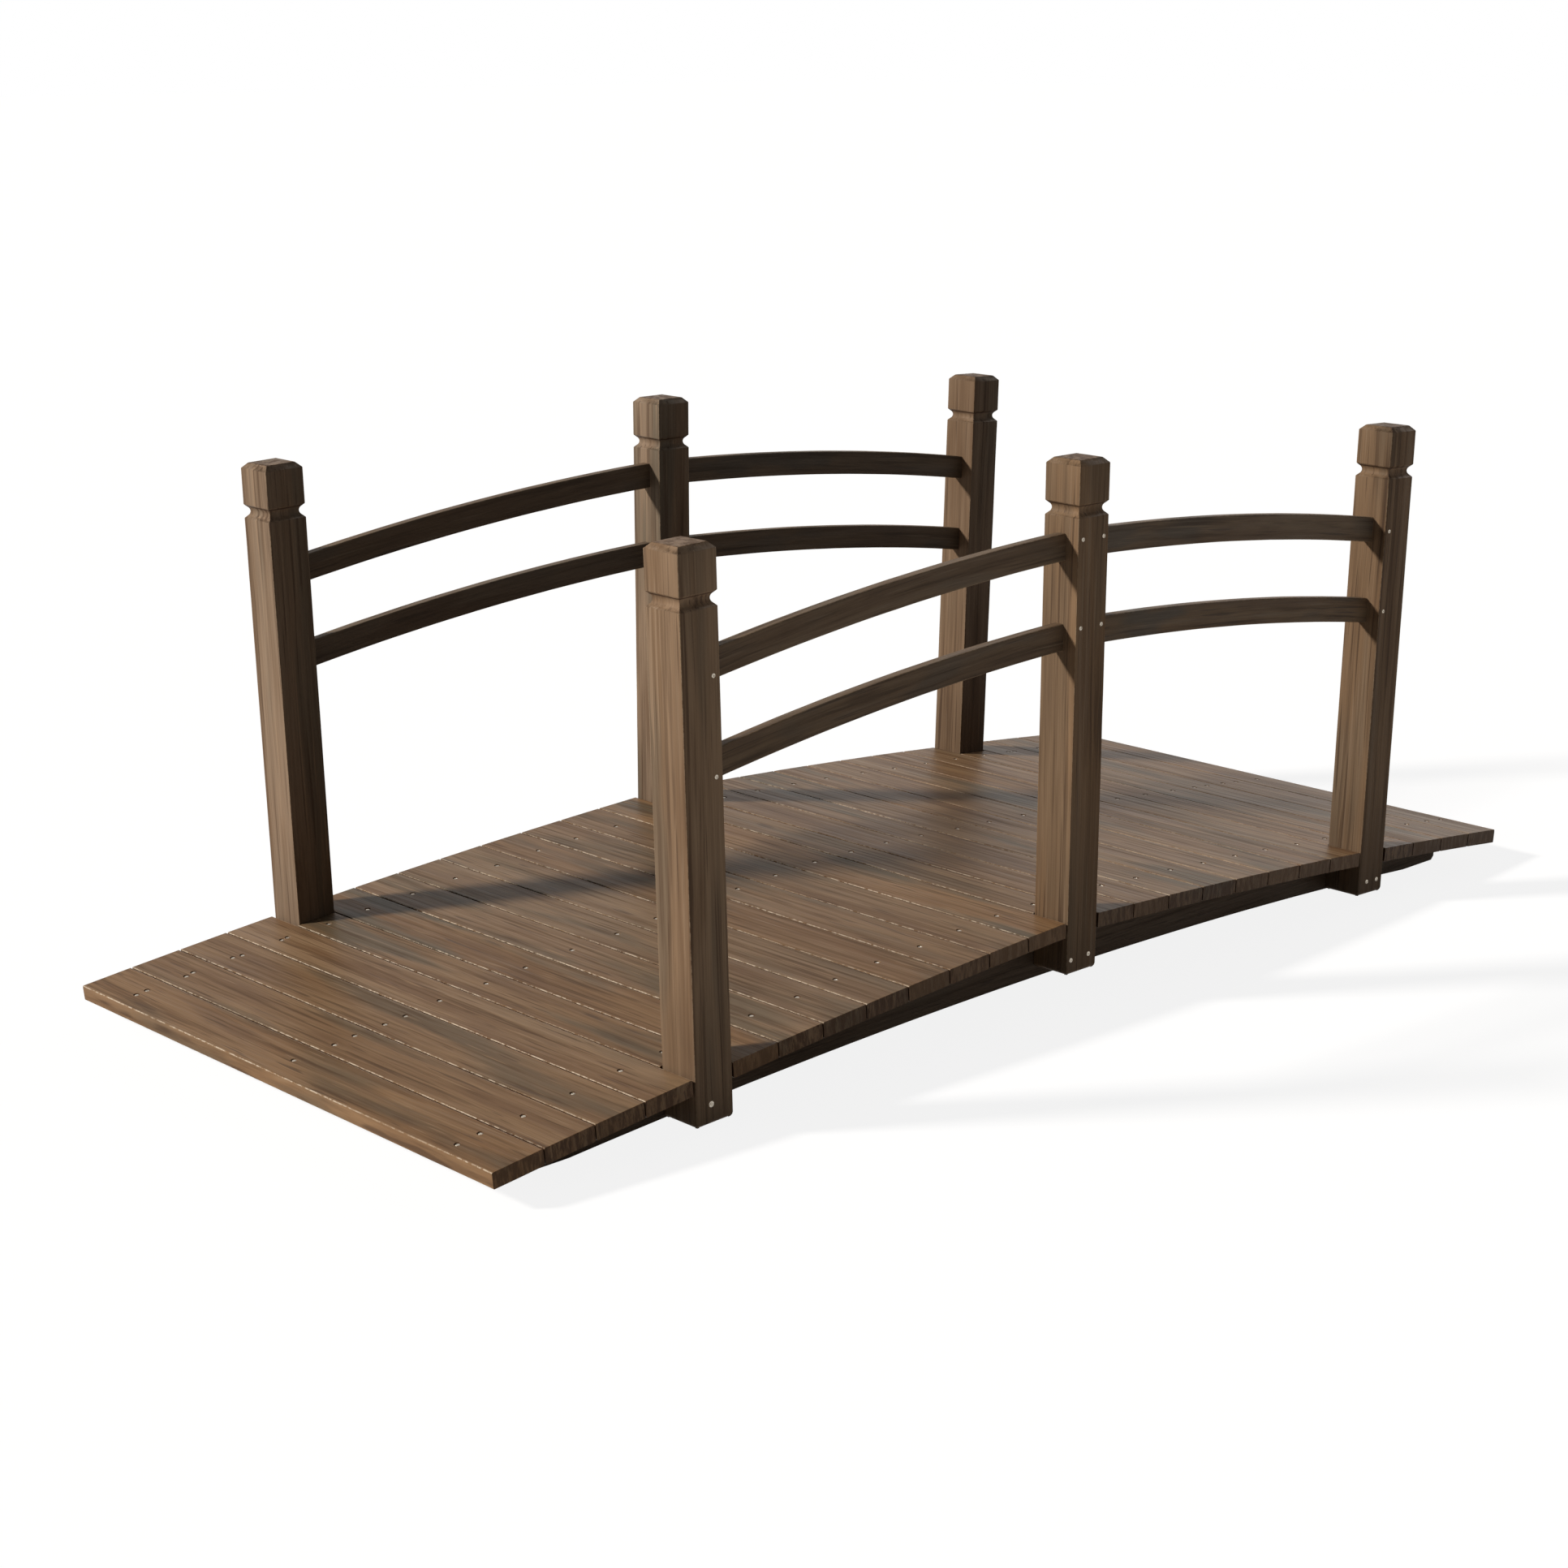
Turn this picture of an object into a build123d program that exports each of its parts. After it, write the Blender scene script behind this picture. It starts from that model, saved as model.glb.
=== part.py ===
from build123d import *
import os
from math import cos, degrees, hypot, radians, sin, sqrt, tan

os.makedirs("parts", exist_ok=True)

# A stained wooden moon bridge for a garden, in millimetres. X runs along the walkway, Y across it
# and Z up. The origin lies on the ground under the middle of the deck.

# Deck boards: the short ones lie between a pair of posts
deck_width = 660
board_width = 56
board_thickness = 16
board_gap = 1.2
short_board_end_gap = 0.5
boards_between_posts = 8
boards_past_posts = 4
board_arris = 0.8

# Crown of the deck: level under the middle board, then falling away on an arc to each end
crest_height = 92
crown_slope = 2.5
deck_radius = 10900

# Posts: a chamfered head over a bevelled, rounded neck
post_size = 45
post_side_gap = 2.1
middle_post_length = 523.5
end_post_length = 530.5
post_lean = 1.9
middle_post_foot = 35
end_post_foot = 9.5
head_height = 42.5
head_chamfer = 6
neck_height = 14.5
neck_depth = 5
neck_bevel = 2.5

# Arched rails: the upper one meets each post a little below the neck, and the lower one hangs under it
rail_height = 27.5
rail_thickness = 12
rail_radius = 3650
rail_gap = 62.5
rail_below_middle_neck = 15.5
rail_below_end_neck = 42.5
tenon_length = 15
tenon_clearance = 0.15

# Stringers: deep in the middle, with a flat foot at each end
stringer_thickness = 40
stringer_setback = 57
stringer_foot = 62
stringer_arch = 22
stringer_toe = 4

# Values worked out from the sizes above
short_board_width = post_size + 2 * (post_side_gap - board_gap)
board_pitch = board_width + board_gap
short_pitch = short_board_width + board_gap
crown_half = short_pitch / 2
crown_height = crest_height - board_thickness
seat_radius = deck_radius - board_thickness
seat_centre_x = crown_half - seat_radius * sin(radians(crown_slope))
seat_centre_z = crown_height - seat_radius * cos(radians(crown_slope))
post_run = crown_half + boards_between_posts * board_pitch + short_pitch / 2
deck_run = post_run + short_pitch / 2 + boards_past_posts * board_pitch
post_line = (deck_width - post_size) / 2
stringer_line = deck_width / 2 - post_size - stringer_thickness / 2
rail_levels = {"upper": 0, "lower": rail_height + rail_gap}


def seat_angle(run):
    """Downward slope of the seat line, in degrees, at a distance along it from the middle."""
    return crown_slope + degrees((run - crown_half) / seat_radius) if run > crown_half else 0


def seat_place(run):
    """The point (x, z) of the seat line, on which the boards lie, at a distance along it."""
    if run <= crown_half:
        return run, crown_height
    angle = radians(seat_angle(run))
    return seat_centre_x + seat_radius * sin(angle), seat_centre_z + seat_radius * cos(angle)


def seat_height(x):
    """Height of the seat line beyond the level crown, at x."""
    return seat_centre_z + sqrt(seat_radius**2 - (x - seat_centre_x) ** 2)


def board_plane(run, side):
    """Plane of the seat under one board, on the left (-1) or right (1) half of the deck."""
    x, z = seat_place(run)
    slope = radians(seat_angle(run)) * side
    x_dir = (cos(slope), 0, -sin(slope))
    return Plane(origin=(x * side, 0, z), x_dir=x_dir, z_dir=(sin(slope), 0, cos(slope)))


def post_foot(station):
    """Middle of a post's foot, as (x, z), for the left (-1), middle (0) or right (1) pair."""
    if station == 0:
        return 0, middle_post_foot
    seat_x, seat_z = seat_place(post_run)
    rise = seat_z + board_thickness / 2 - end_post_foot
    return station * (seat_x - rise * tan(radians(post_lean))), end_post_foot


def shaft_height(length):
    """Height of the neck's lower edge above the foot of a post of a length."""
    return length - head_height - neck_height


def end_post_face(z):
    """Distance from the middle of the bridge to the inner face of an end post, at height z."""
    foot_x, foot_z = post_foot(1)
    lean = radians(post_lean)
    return foot_x + (z - foot_z) * tan(lean) - post_size / 2 / cos(lean)


def rail_edge(level):
    """Upper edge of a right-hand rail: a function that gives its height at x, and its two ends."""
    middle_shaft, end_shaft = shaft_height(middle_post_length), shaft_height(end_post_length)
    x1, z1 = post_size / 2, middle_post_foot + middle_shaft - rail_below_middle_neck - rail_levels[level]
    z2 = end_post_foot + end_shaft - rail_below_end_neck - rail_levels[level]
    x2 = end_post_face(z2)
    chord = hypot(x2 - x1, z2 - z1)
    reach = sqrt(rail_radius**2 - chord**2 / 4)
    centre_x = (x1 + x2) / 2 + reach * (z2 - z1) / chord
    centre_z = (z1 + z2) / 2 - reach * (x2 - x1) / chord
    return lambda x: centre_z + sqrt(rail_radius**2 - (x - centre_x) ** 2), x1, x2


def rail_solid(level, side, bay, growth=0):
    """One arched rail with its tenons, or with growth the housing that takes it in the posts."""
    height, x1, x2 = rail_edge(level)
    ends = x1 - tenon_length - growth, (x1 + x2) / 2, x2 + tenon_length + growth
    with BuildPart() as rail:
        with BuildSketch(Plane.XZ.offset(-side * post_line)):
            with BuildLine():
                top = ThreePointArc(*[(bay * x, height(x) + growth) for x in ends])
                drop = rail_height + growth
                bottom = ThreePointArc(*[(bay * x, height(x) - drop) for x in ends])
                Line(top @ 0, bottom @ 0)
                Line(top @ 1, bottom @ 1)
            make_face()
        extrude(amount=rail_thickness / 2 + growth, both=True)
    return rail.part


def post_outline(length):
    """Outline of a post of a length, seen from the front and from the side alike."""
    half_post = post_size / 2
    neck_bottom, neck_top = shaft_height(length), length - head_height
    with BuildSketch() as outline:
        with BuildLine():
            Polyline(
                (0, 0),
                (half_post, 0),
                (half_post, neck_bottom),
                (half_post - neck_bevel, neck_bottom + neck_bevel),
            )
            ThreePointArc(
                (half_post - neck_bevel, neck_bottom + neck_bevel),
                (half_post - neck_depth, (neck_bottom + neck_top) / 2),
                (half_post - neck_bevel, neck_top - neck_bevel),
            )
            Polyline(
                (half_post - neck_bevel, neck_top - neck_bevel),
                (half_post, neck_top),
                (half_post, length - head_chamfer),
                (half_post - head_chamfer, length),
                (0, length),
            )
            mirror(about=Plane.YZ)
        make_face()
    return outline.sketch


# Deck boards, numbered from the left end
right_half = [(crown_half + board_pitch * (n + 0.5), board_width) for n in range(boards_between_posts)]
right_half.append((post_run, short_board_width))
right_half += [
    (post_run + short_pitch / 2 + board_pitch * (n + 0.5), board_width)
    for n in range(boards_past_posts)
]
boards = [(run, width, -1) for run, width in reversed(right_half)]
boards.append((0, short_board_width, 1))
boards += [(run, width, 1) for run, width in right_half]

for number, (run, width, side) in enumerate(boards, start=1):
    between_posts = width == short_board_width
    length = deck_width - 2 * (post_size + short_board_end_gap) if between_posts else deck_width
    with BuildPart() as board:
        with BuildSketch(board_plane(run, side)):
            Rectangle(width, length)
        extrude(amount=board_thickness)
        walking_face = board.faces().sort_by(Axis.Z)[-1]
        chamfer(walking_face.edges().filter_by(Axis.Y), length=board_arris)
    board.part.label = f"deck_board_{number:02d}"
    export_step(board.part, f"parts/deck_board_{number:02d}.step")

# Posts: the outline run through both ways, then housed for the rails of the bays beside it
for side_name, side in {"near": -1, "far": 1}.items():
    for station_name, station in {"left": -1, "middle": 0, "right": 1}.items():
        foot_x, foot_z = post_foot(station)
        foot = Vector(foot_x, side * post_line, foot_z)
        lean = radians(post_lean * station)
        along = Vector(cos(lean), 0, -sin(lean))
        outline = post_outline(middle_post_length if station == 0 else end_post_length)
        with BuildPart() as post:
            with BuildSketch(Plane(origin=foot, x_dir=along, z_dir=(0, -1, 0))):
                add(outline)
            extrude(amount=post_size / 2, both=True)
            with BuildSketch(Plane(origin=foot, x_dir=(0, 1, 0), z_dir=along)):
                add(outline)
            extrude(amount=post_size / 2, both=True, mode=Mode.INTERSECT)
            for bay in [-1, 1] if station == 0 else [station]:
                for level in rail_levels:
                    add(rail_solid(level, side, bay, tenon_clearance), mode=Mode.SUBTRACT)
        post.part.label = f"{side_name}_{station_name}_post"
        export_step(post.part, f"parts/{side_name}_{station_name}_post.step")

# Rails: an upper and a lower one in each bay
for side_name, side in {"near": -1, "far": 1}.items():
    for bay_name, bay in {"left": -1, "right": 1}.items():
        for level in rail_levels:
            rail = rail_solid(level, side, bay)
            rail.label = f"{side_name}_{bay_name}_{level}_rail"
            export_step(rail, f"parts/{side_name}_{bay_name}_{level}_rail.step")

# Stringers: two under the posts' inner faces and one under the middle of the deck
tip = seat_place(deck_run)[0] - stringer_setback
heel = tip - stringer_foot
shoulder = (crown_half + tip) / 2
for stringer_name, line in {"near": -stringer_line, "centre": 0, "far": stringer_line}.items():
    with BuildPart() as stringer:
        with BuildSketch(Plane.XZ.offset(-line)):
            with BuildLine():
                Line((-crown_half, crown_height), (crown_half, crown_height))
                for half in [-1, 1]:
                    ThreePointArc(
                        (half * crown_half, crown_height),
                        (half * shoulder, seat_height(shoulder)),
                        (half * tip, seat_height(tip)),
                    )
                    Polyline(
                        (half * tip, seat_height(tip)),
                        (half * tip, stringer_toe),
                        (half * (tip - stringer_toe), 0),
                        (half * heel, 0),
                    )
                ThreePointArc((-heel, 0), (0, stringer_arch), (heel, 0))
            make_face()
        extrude(amount=stringer_thickness / 2, both=True)
    stringer.part.label = f"{stringer_name}_stringer"
    export_step(stringer.part, f"parts/{stringer_name}_stringer.step")
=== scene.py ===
"""Dressed model of a small stained wooden moon bridge, built around its CAD frame.

Lengths are in metres. X runs along the walkway, Y across it and Z up, as in the frame.
"""

import itertools
import logging
import math
import random
from collections.abc import Callable, Iterable, Sequence
from dataclasses import dataclass, replace
from enum import Enum

import bmesh
import bpy
from mathutils import Matrix, Vector


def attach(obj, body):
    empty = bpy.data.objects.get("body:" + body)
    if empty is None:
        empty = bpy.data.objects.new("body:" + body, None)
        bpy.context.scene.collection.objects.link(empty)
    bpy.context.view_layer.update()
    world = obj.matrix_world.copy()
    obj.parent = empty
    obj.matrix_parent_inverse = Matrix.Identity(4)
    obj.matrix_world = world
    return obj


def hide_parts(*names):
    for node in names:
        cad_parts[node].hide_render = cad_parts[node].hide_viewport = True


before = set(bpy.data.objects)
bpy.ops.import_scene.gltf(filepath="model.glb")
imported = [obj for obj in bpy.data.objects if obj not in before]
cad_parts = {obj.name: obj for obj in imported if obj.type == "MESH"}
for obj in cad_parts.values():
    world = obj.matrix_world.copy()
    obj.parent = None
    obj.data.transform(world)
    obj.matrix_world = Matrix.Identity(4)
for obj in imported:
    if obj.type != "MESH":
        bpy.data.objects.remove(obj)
log = logging.getLogger("moon_bridge")

Colour = tuple[float, float, float]
Triple = tuple[float, float, float]
Piece = bpy.types.Object
Finish = bpy.types.Material
Socket = bpy.types.NodeSocket
BODY = "root"
X, Y, Z = range(3)

# Picking faces and edges: the distance within which two places are the same, and the least cosine
# at which a direction runs along an axis
HAIR = 1e-5
ALIGNED = 0.9

# Telling a piece's faces apart for its finish: the least cosine to the grain on end grain and to
# the walkway on an inner face, and how near a bore and how small the facets of a countersink are
ACROSS_GRAIN = 0.8
TO_WALKWAY = 0.5
BORE_REACH = 0.0046
BORE_FACET = 4e-6

# Most that a piece's grain is shifted in the noise patterns, so that no two pieces are alike
CUT_REACH = 40


class Side(Enum):
    """The two railings, by the sign of their place across the walkway."""

    NEAR = -1
    FAR = 1


class Station(Enum):
    """The three posts of a railing, by the sign of their place along the walkway."""

    LEFT = -1
    MIDDLE = 0
    RIGHT = 1


class Row(Enum):
    """The stringers and the screw rows over them, by the sign of their place across the walkway."""

    NEAR = -1
    CENTRE = 0
    FAR = 1


class Level(Enum):
    """The two rails of a bay, by how many rails lie above."""

    UPPER = 0
    LOWER = 1


# Grain: where a point lies in the timber


@dataclass(frozen=True)
class StraightGrain:
    """Grain that runs straight through a piece.

    Attributes:
        origin: Middle of the piece.
        across: Unit vector across the grain.
        along: Unit vector along the grain.
        half: Half of the piece's size across, along and through.
    """

    origin: Vector
    across: Vector
    along: Vector
    half: Triple

    def place(self, point: Vector) -> Vector:
        """Tell where a point lies in the timber.

        Args:
            point: A point of the mesh.

        Returns:
            Its distances from the middle across, along and through the grain.
        """
        offset = point - self.origin
        through = self.across.cross(self.along)
        return Vector((offset.dot(self.across), offset.dot(self.along), offset.dot(through)))

    def direction(self, point: Vector) -> Vector:
        """Return the direction of the grain at a point, the same all over a straight piece."""
        return self.along


@dataclass(frozen=True)
class ArchedGrain:
    """Grain that follows a rail cut on an arc in the XZ plane.

    Attributes:
        centre: Centre of the arc, on the rail's middle plane.
        radius: Radius of the arc at mid-height.
        middle: Angle of the rail's middle from the vertical, in radians.
        half: Half of the piece's size across, along and through.
    """

    centre: Vector
    radius: float
    middle: float
    half: Triple

    def place(self, point: Vector) -> Vector:
        """Tell where a point lies in the timber.

        Args:
            point: A point of the mesh.

        Returns:
            Its distances from the middle across, along and through the grain.
        """
        offset = point - self.centre
        reach = math.hypot(offset.x, offset.z)
        angle = math.atan2(offset.x, offset.z) - self.middle
        return Vector((reach - self.radius, angle * self.radius, offset.y))

    def direction(self, point: Vector) -> Vector:
        """Return the direction of the grain at a point, along the arc."""
        offset = point - self.centre
        return Vector((offset.z, 0, -offset.x)).normalized()


Grain = StraightGrain | ArchedGrain


# Workbench: edit-mode work on one piece


def deselect_all() -> None:
    """Leave edit mode and deselect every object."""
    if bpy.context.object and bpy.context.object.mode != "OBJECT":
        bpy.ops.object.mode_set(mode="OBJECT")
    bpy.ops.object.select_all(action="DESELECT")


def choose(piece: Piece) -> Piece:
    """Make a piece the only selected object and the active one.

    Args:
        piece: The piece to choose.

    Returns:
        The same piece.
    """
    deselect_all()
    piece.select_set(True)
    bpy.context.view_layer.objects.active = piece
    return piece


def settle(piece: Piece, placement: Matrix) -> Piece:
    """Move a piece and put the move into its mesh.

    Args:
        piece: The piece, which may already have a place in its mesh.
        placement: The move, without any scale.

    Returns:
        The piece, with its object at the origin again.
    """
    choose(piece).matrix_world = placement
    bpy.ops.object.transform_apply(location=True, rotation=True, scale=True)
    return piece


def duplicate(piece: Piece, name: str) -> Piece:
    """Copy a piece, with a mesh of its own.

    Args:
        piece: The piece to copy.
        name: Name of the copy.

    Returns:
        The copy.
    """
    choose(piece)
    bpy.ops.object.duplicate(linked=False)
    copy = bpy.context.object
    copy.name = copy.data.name = name
    return copy


def scrap(piece: Piece) -> None:
    """Remove a pattern piece once its copies are made.

    Args:
        piece: The pattern piece.
    """
    mesh = piece.data
    bpy.data.objects.remove(piece)
    bpy.data.meshes.remove(mesh)


def runs_along(run: Vector, axis: int) -> bool:
    """Tell whether a direction runs along an axis, either way."""
    return abs(run[axis]) > ALIGNED


def lies_at(value: float, place: float) -> bool:
    """Tell whether a coordinate lies at a place or at its mirror image."""
    return abs(abs(value) - place) < HAIR


class Workbench:
    """One piece in edit mode, shaped by the operators that a maker would use by hand."""

    def __init__(self, name: str) -> None:
        """Put the primitive just added on the bench, with its place in its mesh.

        Args:
            name: Name of the piece.
        """
        self.piece = bpy.context.object
        self.piece.name = self.piece.data.name = name
        bpy.ops.object.transform_apply(location=True, rotation=True, scale=True)
        bpy.ops.object.mode_set(mode="EDIT")

    @classmethod
    def block(cls, name: str, size: Triple, centre: Triple) -> "Workbench":
        """Start from a squared block.

        Args:
            name: Name of the piece.
            size: Size of the block along X, Y and Z.
            centre: Middle of the block.

        Returns:
            The bench with the block on it.
        """
        deselect_all()
        bpy.ops.mesh.primitive_cube_add(size=1, location=centre, scale=size)
        return cls(name)

    @classmethod
    def disc(cls, name: str, sides: int, radius: float, depth: float) -> "Workbench":
        """Start from a round blank with its top at height 0.

        Args:
            name: Name of the piece.
            sides: Number of its sides.
            radius: Its radius.
            depth: Its depth.

        Returns:
            The bench with the blank on it.
        """
        deselect_all()
        bpy.ops.mesh.primitive_cylinder_add(
            vertices=sides, radius=radius, depth=depth, location=(0, 0, -depth / 2)
        )
        return cls(name)

    @classmethod
    def sheet(
        cls, name: str, size: tuple[float, float], centre: Triple, turn: float
    ) -> "Workbench":
        """Start from a flat rectangle, to be spun into a bar.

        Args:
            name: Name of the piece.
            size: Size of the rectangle.
            centre: Middle of the rectangle.
            turn: How far it is turned about Y, in radians.

        Returns:
            The bench with the rectangle on it.
        """
        deselect_all()
        bpy.ops.mesh.primitive_plane_add(size=1, location=centre, rotation=(0, turn, 0))
        bpy.context.object.scale = (*size, 1)
        return cls(name)

    def pick_faces(self, test: Callable[[Vector, Vector], bool]) -> None:
        """Select the faces whose middle and normal pass a test.

        Args:
            test: Tells from the middle and the normal whether a face is selected.
        """
        bpy.ops.mesh.select_mode(type="FACE")
        bpy.ops.mesh.select_all(action="DESELECT")
        mesh = bmesh.from_edit_mesh(self.piece.data)
        for face in mesh.faces:
            face.select_set(test(face.calc_center_median(), face.normal))
        bmesh.update_edit_mesh(self.piece.data)

    def pick_edges(self, test: Callable[[Vector, Vector], bool]) -> None:
        """Select the edges whose middle and unit direction pass a test.

        Args:
            test: Tells from the middle and the direction whether an edge is selected.
        """
        bpy.ops.mesh.select_mode(type="EDGE")
        bpy.ops.mesh.select_all(action="DESELECT")
        mesh = bmesh.from_edit_mesh(self.piece.data)
        for edge in mesh.edges:
            start, end = (vertex.co for vertex in edge.verts)
            edge.select_set(test((start + end) / 2, (end - start).normalized()))
        bmesh.update_edit_mesh(self.piece.data)

    def slice(self, places: Iterable[float], axis: int) -> None:
        """Cut new edge rings across the whole piece.

        Args:
            places: Where to cut, along the axis.
            axis: 0, 1 or 2 for X, Y or Z.
        """
        normal = Vector([float(n == axis) for n in range(3)])
        for place in places:
            bpy.ops.mesh.select_all(action="SELECT")
            bpy.ops.mesh.bisect(plane_co=normal * place, plane_no=normal)

    def extrude(self, move: Triple) -> None:
        """Extrude the selected faces by a move."""
        bpy.ops.mesh.extrude_region_move(TRANSFORM_OT_translate={"value": move})

    def resize(self, factors: Triple, about: Triple) -> None:
        """Scale the selection about a point."""
        bpy.ops.transform.resize(value=factors, center_override=about)

    def raise_to(self, height: float) -> None:
        """Move the selected faces up or down to a height.

        Args:
            height: The height to reach.
        """
        mesh = bmesh.from_edit_mesh(self.piece.data)
        now = next(face.calc_center_median().z for face in mesh.faces if face.select)
        bpy.ops.transform.translate(value=(0, 0, height - now))

    def soften(self, width: float, segments: int) -> None:
        """Round the selected edges off."""
        bpy.ops.mesh.bevel(offset=width, segments=segments, profile=0.5, affect="EDGES")

    def finish(self) -> Piece:
        """Turn the faces outwards, leave edit mode and hand the piece over.

        Returns:
            The finished piece.
        """
        bpy.ops.mesh.select_all(action="SELECT")
        bpy.ops.mesh.normals_make_consistent(inside=False)
        bpy.ops.object.mode_set(mode="OBJECT")
        return self.piece


def steps(low: float, high: float, count: int) -> list[float]:
    """Return the places that divide a length into equal parts, without its ends."""
    return [low + (high - low) * n / count for n in range(1, count)]


def apply_modifier(piece: Piece, kind: str, **settings: object) -> None:
    """Add a modifier to a piece and apply it.

    Args:
        piece: The piece to change.
        kind: The modifier's type.
        **settings: Values of the modifier's properties.
    """
    choose(piece)
    bpy.ops.object.modifier_add(type=kind)
    modifier = piece.modifiers[-1]
    for key, value in settings.items():
        setattr(modifier, key, value)
    bpy.ops.object.modifier_apply(modifier=modifier.name)


@dataclass(frozen=True)
class SawnSurface:
    """The slight unevenness of sawn and sanded timber, taken off the piece and never added.

    Attributes:
        depth: Most that the surface is hollowed.
        spacing: Distance between the hollows.
    """

    depth: float = 0.0003
    spacing: float = 0.045

    def work(self, piece: Piece) -> None:
        """Make a piece's surface slightly uneven.

        Args:
            piece: The piece to work.
        """
        clouds = bpy.data.textures.new(f"{piece.name}_hollows", "CLOUDS")
        clouds.noise_scale = self.spacing
        apply_modifier(
            piece, "DISPLACE", texture=clouds, strength=self.depth, mid_level=1.0,
            texture_coords="LOCAL",
        )
        bpy.data.textures.remove(clouds)


def cut_timber(pattern: Piece, name: str, pose: Matrix, surface: SawnSurface) -> Piece:
    """Copy a pattern to its place and make its surface uneven.

    Args:
        pattern: The pattern piece.
        name: Name of the copy.
        pose: The copy's place.
        surface: How uneven the timber is.

    Returns:
        The copy.
    """
    timber = settle(duplicate(pattern, name), pose)
    surface.work(timber)
    return timber


def shade(piece: Piece, crease: float = 40.0) -> None:
    """Shade a piece smoothly over its softened edges, with its broad faces kept flat.

    Args:
        piece: The finished mesh.
        crease: Angle in degrees past which an edge stays sharp.
    """
    choose(piece)
    bpy.ops.object.shade_smooth_by_angle(angle=math.radians(crease))
    apply_modifier(piece, "WEIGHTED_NORMAL", weight=80, keep_sharp=True)


# Finishes


@dataclass(frozen=True)
class Ramp:
    """A range of a value, and the range that it is mapped to smoothly and held in.

    Attributes:
        low: Where the value's range starts.
        high: Where it ends, which may be lower.
        start: What its start is mapped to.
        end: What its end is mapped to.
    """

    low: float
    high: float
    start: float = 0.0
    end: float = 1.0


class ShaderBench:
    """Builds the node tree of a material or of the world."""

    def __init__(self, owner: Finish | bpy.types.World) -> None:
        """Start with an empty tree.

        Args:
            owner: The material or the world that the tree belongs to.
        """
        owner.use_nodes = True
        self.owner, self.tree = owner, owner.node_tree
        self.tree.nodes.clear()

    @classmethod
    def named(cls, name: str) -> "ShaderBench":
        """Start a new material."""
        return cls(bpy.data.materials.new(name))

    def add(
        self, kind: str, settings: dict[str, object], inputs: dict[object, object]
    ) -> bpy.types.Node:
        """Add a node.

        Args:
            kind: The node's type.
            settings: Values of its properties.
            inputs: Sockets to link or constants to set, by input name or number.

        Returns:
            The node.
        """
        node = self.tree.nodes.new(kind)
        for key, value in settings.items():
            setattr(node, key, value)
        for key, value in inputs.items():
            if isinstance(value, Socket):
                self.tree.links.new(value, node.inputs[key])
            else:
                node.inputs[key].default_value = value
        return node

    def attribute(self, name: str, output: str = "Vector") -> Socket:
        """Read one of the piece's own attributes."""
        return self.add("ShaderNodeAttribute", {"attribute_name": name}, {}).outputs[output]

    def part(self, vector: Socket, axis: str) -> Socket:
        """Take one part of a vector."""
        return self.add("ShaderNodeSeparateXYZ", {}, {0: vector}).outputs[axis]

    def math(self, operation: str, *values: object) -> Socket:
        """Work out a number."""
        inputs = dict(enumerate(values))
        return self.add("ShaderNodeMath", {"operation": operation}, inputs).outputs[0]

    def product(self, *values: object) -> Socket:
        """Multiply numbers, one after another.

        Args:
            values: Numbers or sockets.

        Returns:
            The product.
        """
        total = values[0]
        for value in values[1:]:
            total = self.math("MULTIPLY", total, value)
        return total

    def rest(self, share: Socket) -> Socket:
        """Work out what a share leaves of the whole."""
        return self.math("SUBTRACT", 1.0, share)

    def vector(self, operation: str, *values: object) -> Socket:
        """Work out a vector."""
        inputs = dict(enumerate(values))
        return self.add("ShaderNodeVectorMath", {"operation": operation}, inputs).outputs[0]

    def noise(self, place: Socket, stretch: Triple, detail: float, rough: float = 0.55) -> Socket:
        """Make a noise pattern drawn out along the grain.

        Args:
            place: Where the point lies in the timber.
            stretch: How many patches there are in a metre across, along and through the grain.
            detail: How many finer layers it has.
            rough: How strong the finer layers are.

        Returns:
            The pattern, from 0 to 1.
        """
        drawn = self.vector("MULTIPLY", place, stretch)
        inputs = {"Vector": drawn, "Scale": 1.0, "Detail": detail, "Roughness": rough}
        return self.add("ShaderNodeTexNoise", {"noise_dimensions": "3D"}, inputs).outputs[0]

    def span(self, value: Socket, ramp: Ramp) -> Socket:
        """Map a value by a ramp.

        Args:
            value: The value to map.
            ramp: The ramp.

        Returns:
            The mapped value.
        """
        inputs = {0: value, 1: ramp.low, 2: ramp.high, 3: ramp.start, 4: ramp.end}
        settings = {"interpolation_type": "SMOOTHSTEP", "clamp": True}
        return self.add("ShaderNodeMapRange", settings, inputs).outputs[0]

    def blend(self, share: object, first: object, second: object, mode: str = "MIX") -> Socket:
        """Blend two colours.

        Args:
            share: How much of the second there is.
            first: The colour below.
            second: The colour above.
            mode: How they blend.

        Returns:
            The blended colour.
        """
        node = self.tree.nodes.new("ShaderNodeMix")
        node.data_type, node.blend_type = "RGBA", mode
        for number, value in ((0, share), (6, first), (7, second)):
            if isinstance(value, Socket):
                self.tree.links.new(value, node.inputs[number])
            else:
                node.inputs[number].default_value = value if number == 0 else (*value, 1.0)
        return node.outputs[2]

    def cover(self, colour: Socket, *layers: tuple[Socket, Colour]) -> Socket:
        """Lay colours over a colour in order, each with its share.

        Args:
            colour: The lowest colour.
            layers: Share and colour of each layer.

        Returns:
            The resulting colour.
        """
        for share, layer in layers:
            colour = self.blend(share, colour, layer)
        return colour

    def close(self, shader: Socket) -> Finish | bpy.types.World:
        """Link the shader to the output and hand the material or the world over.

        Args:
            shader: The finished shader.

        Returns:
            The material or the world.
        """
        world = isinstance(self.owner, bpy.types.World)
        output = "ShaderNodeOutputWorld" if world else "ShaderNodeOutputMaterial"
        self.add(output, {}, {"Surface": shader})
        return self.owner

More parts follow.
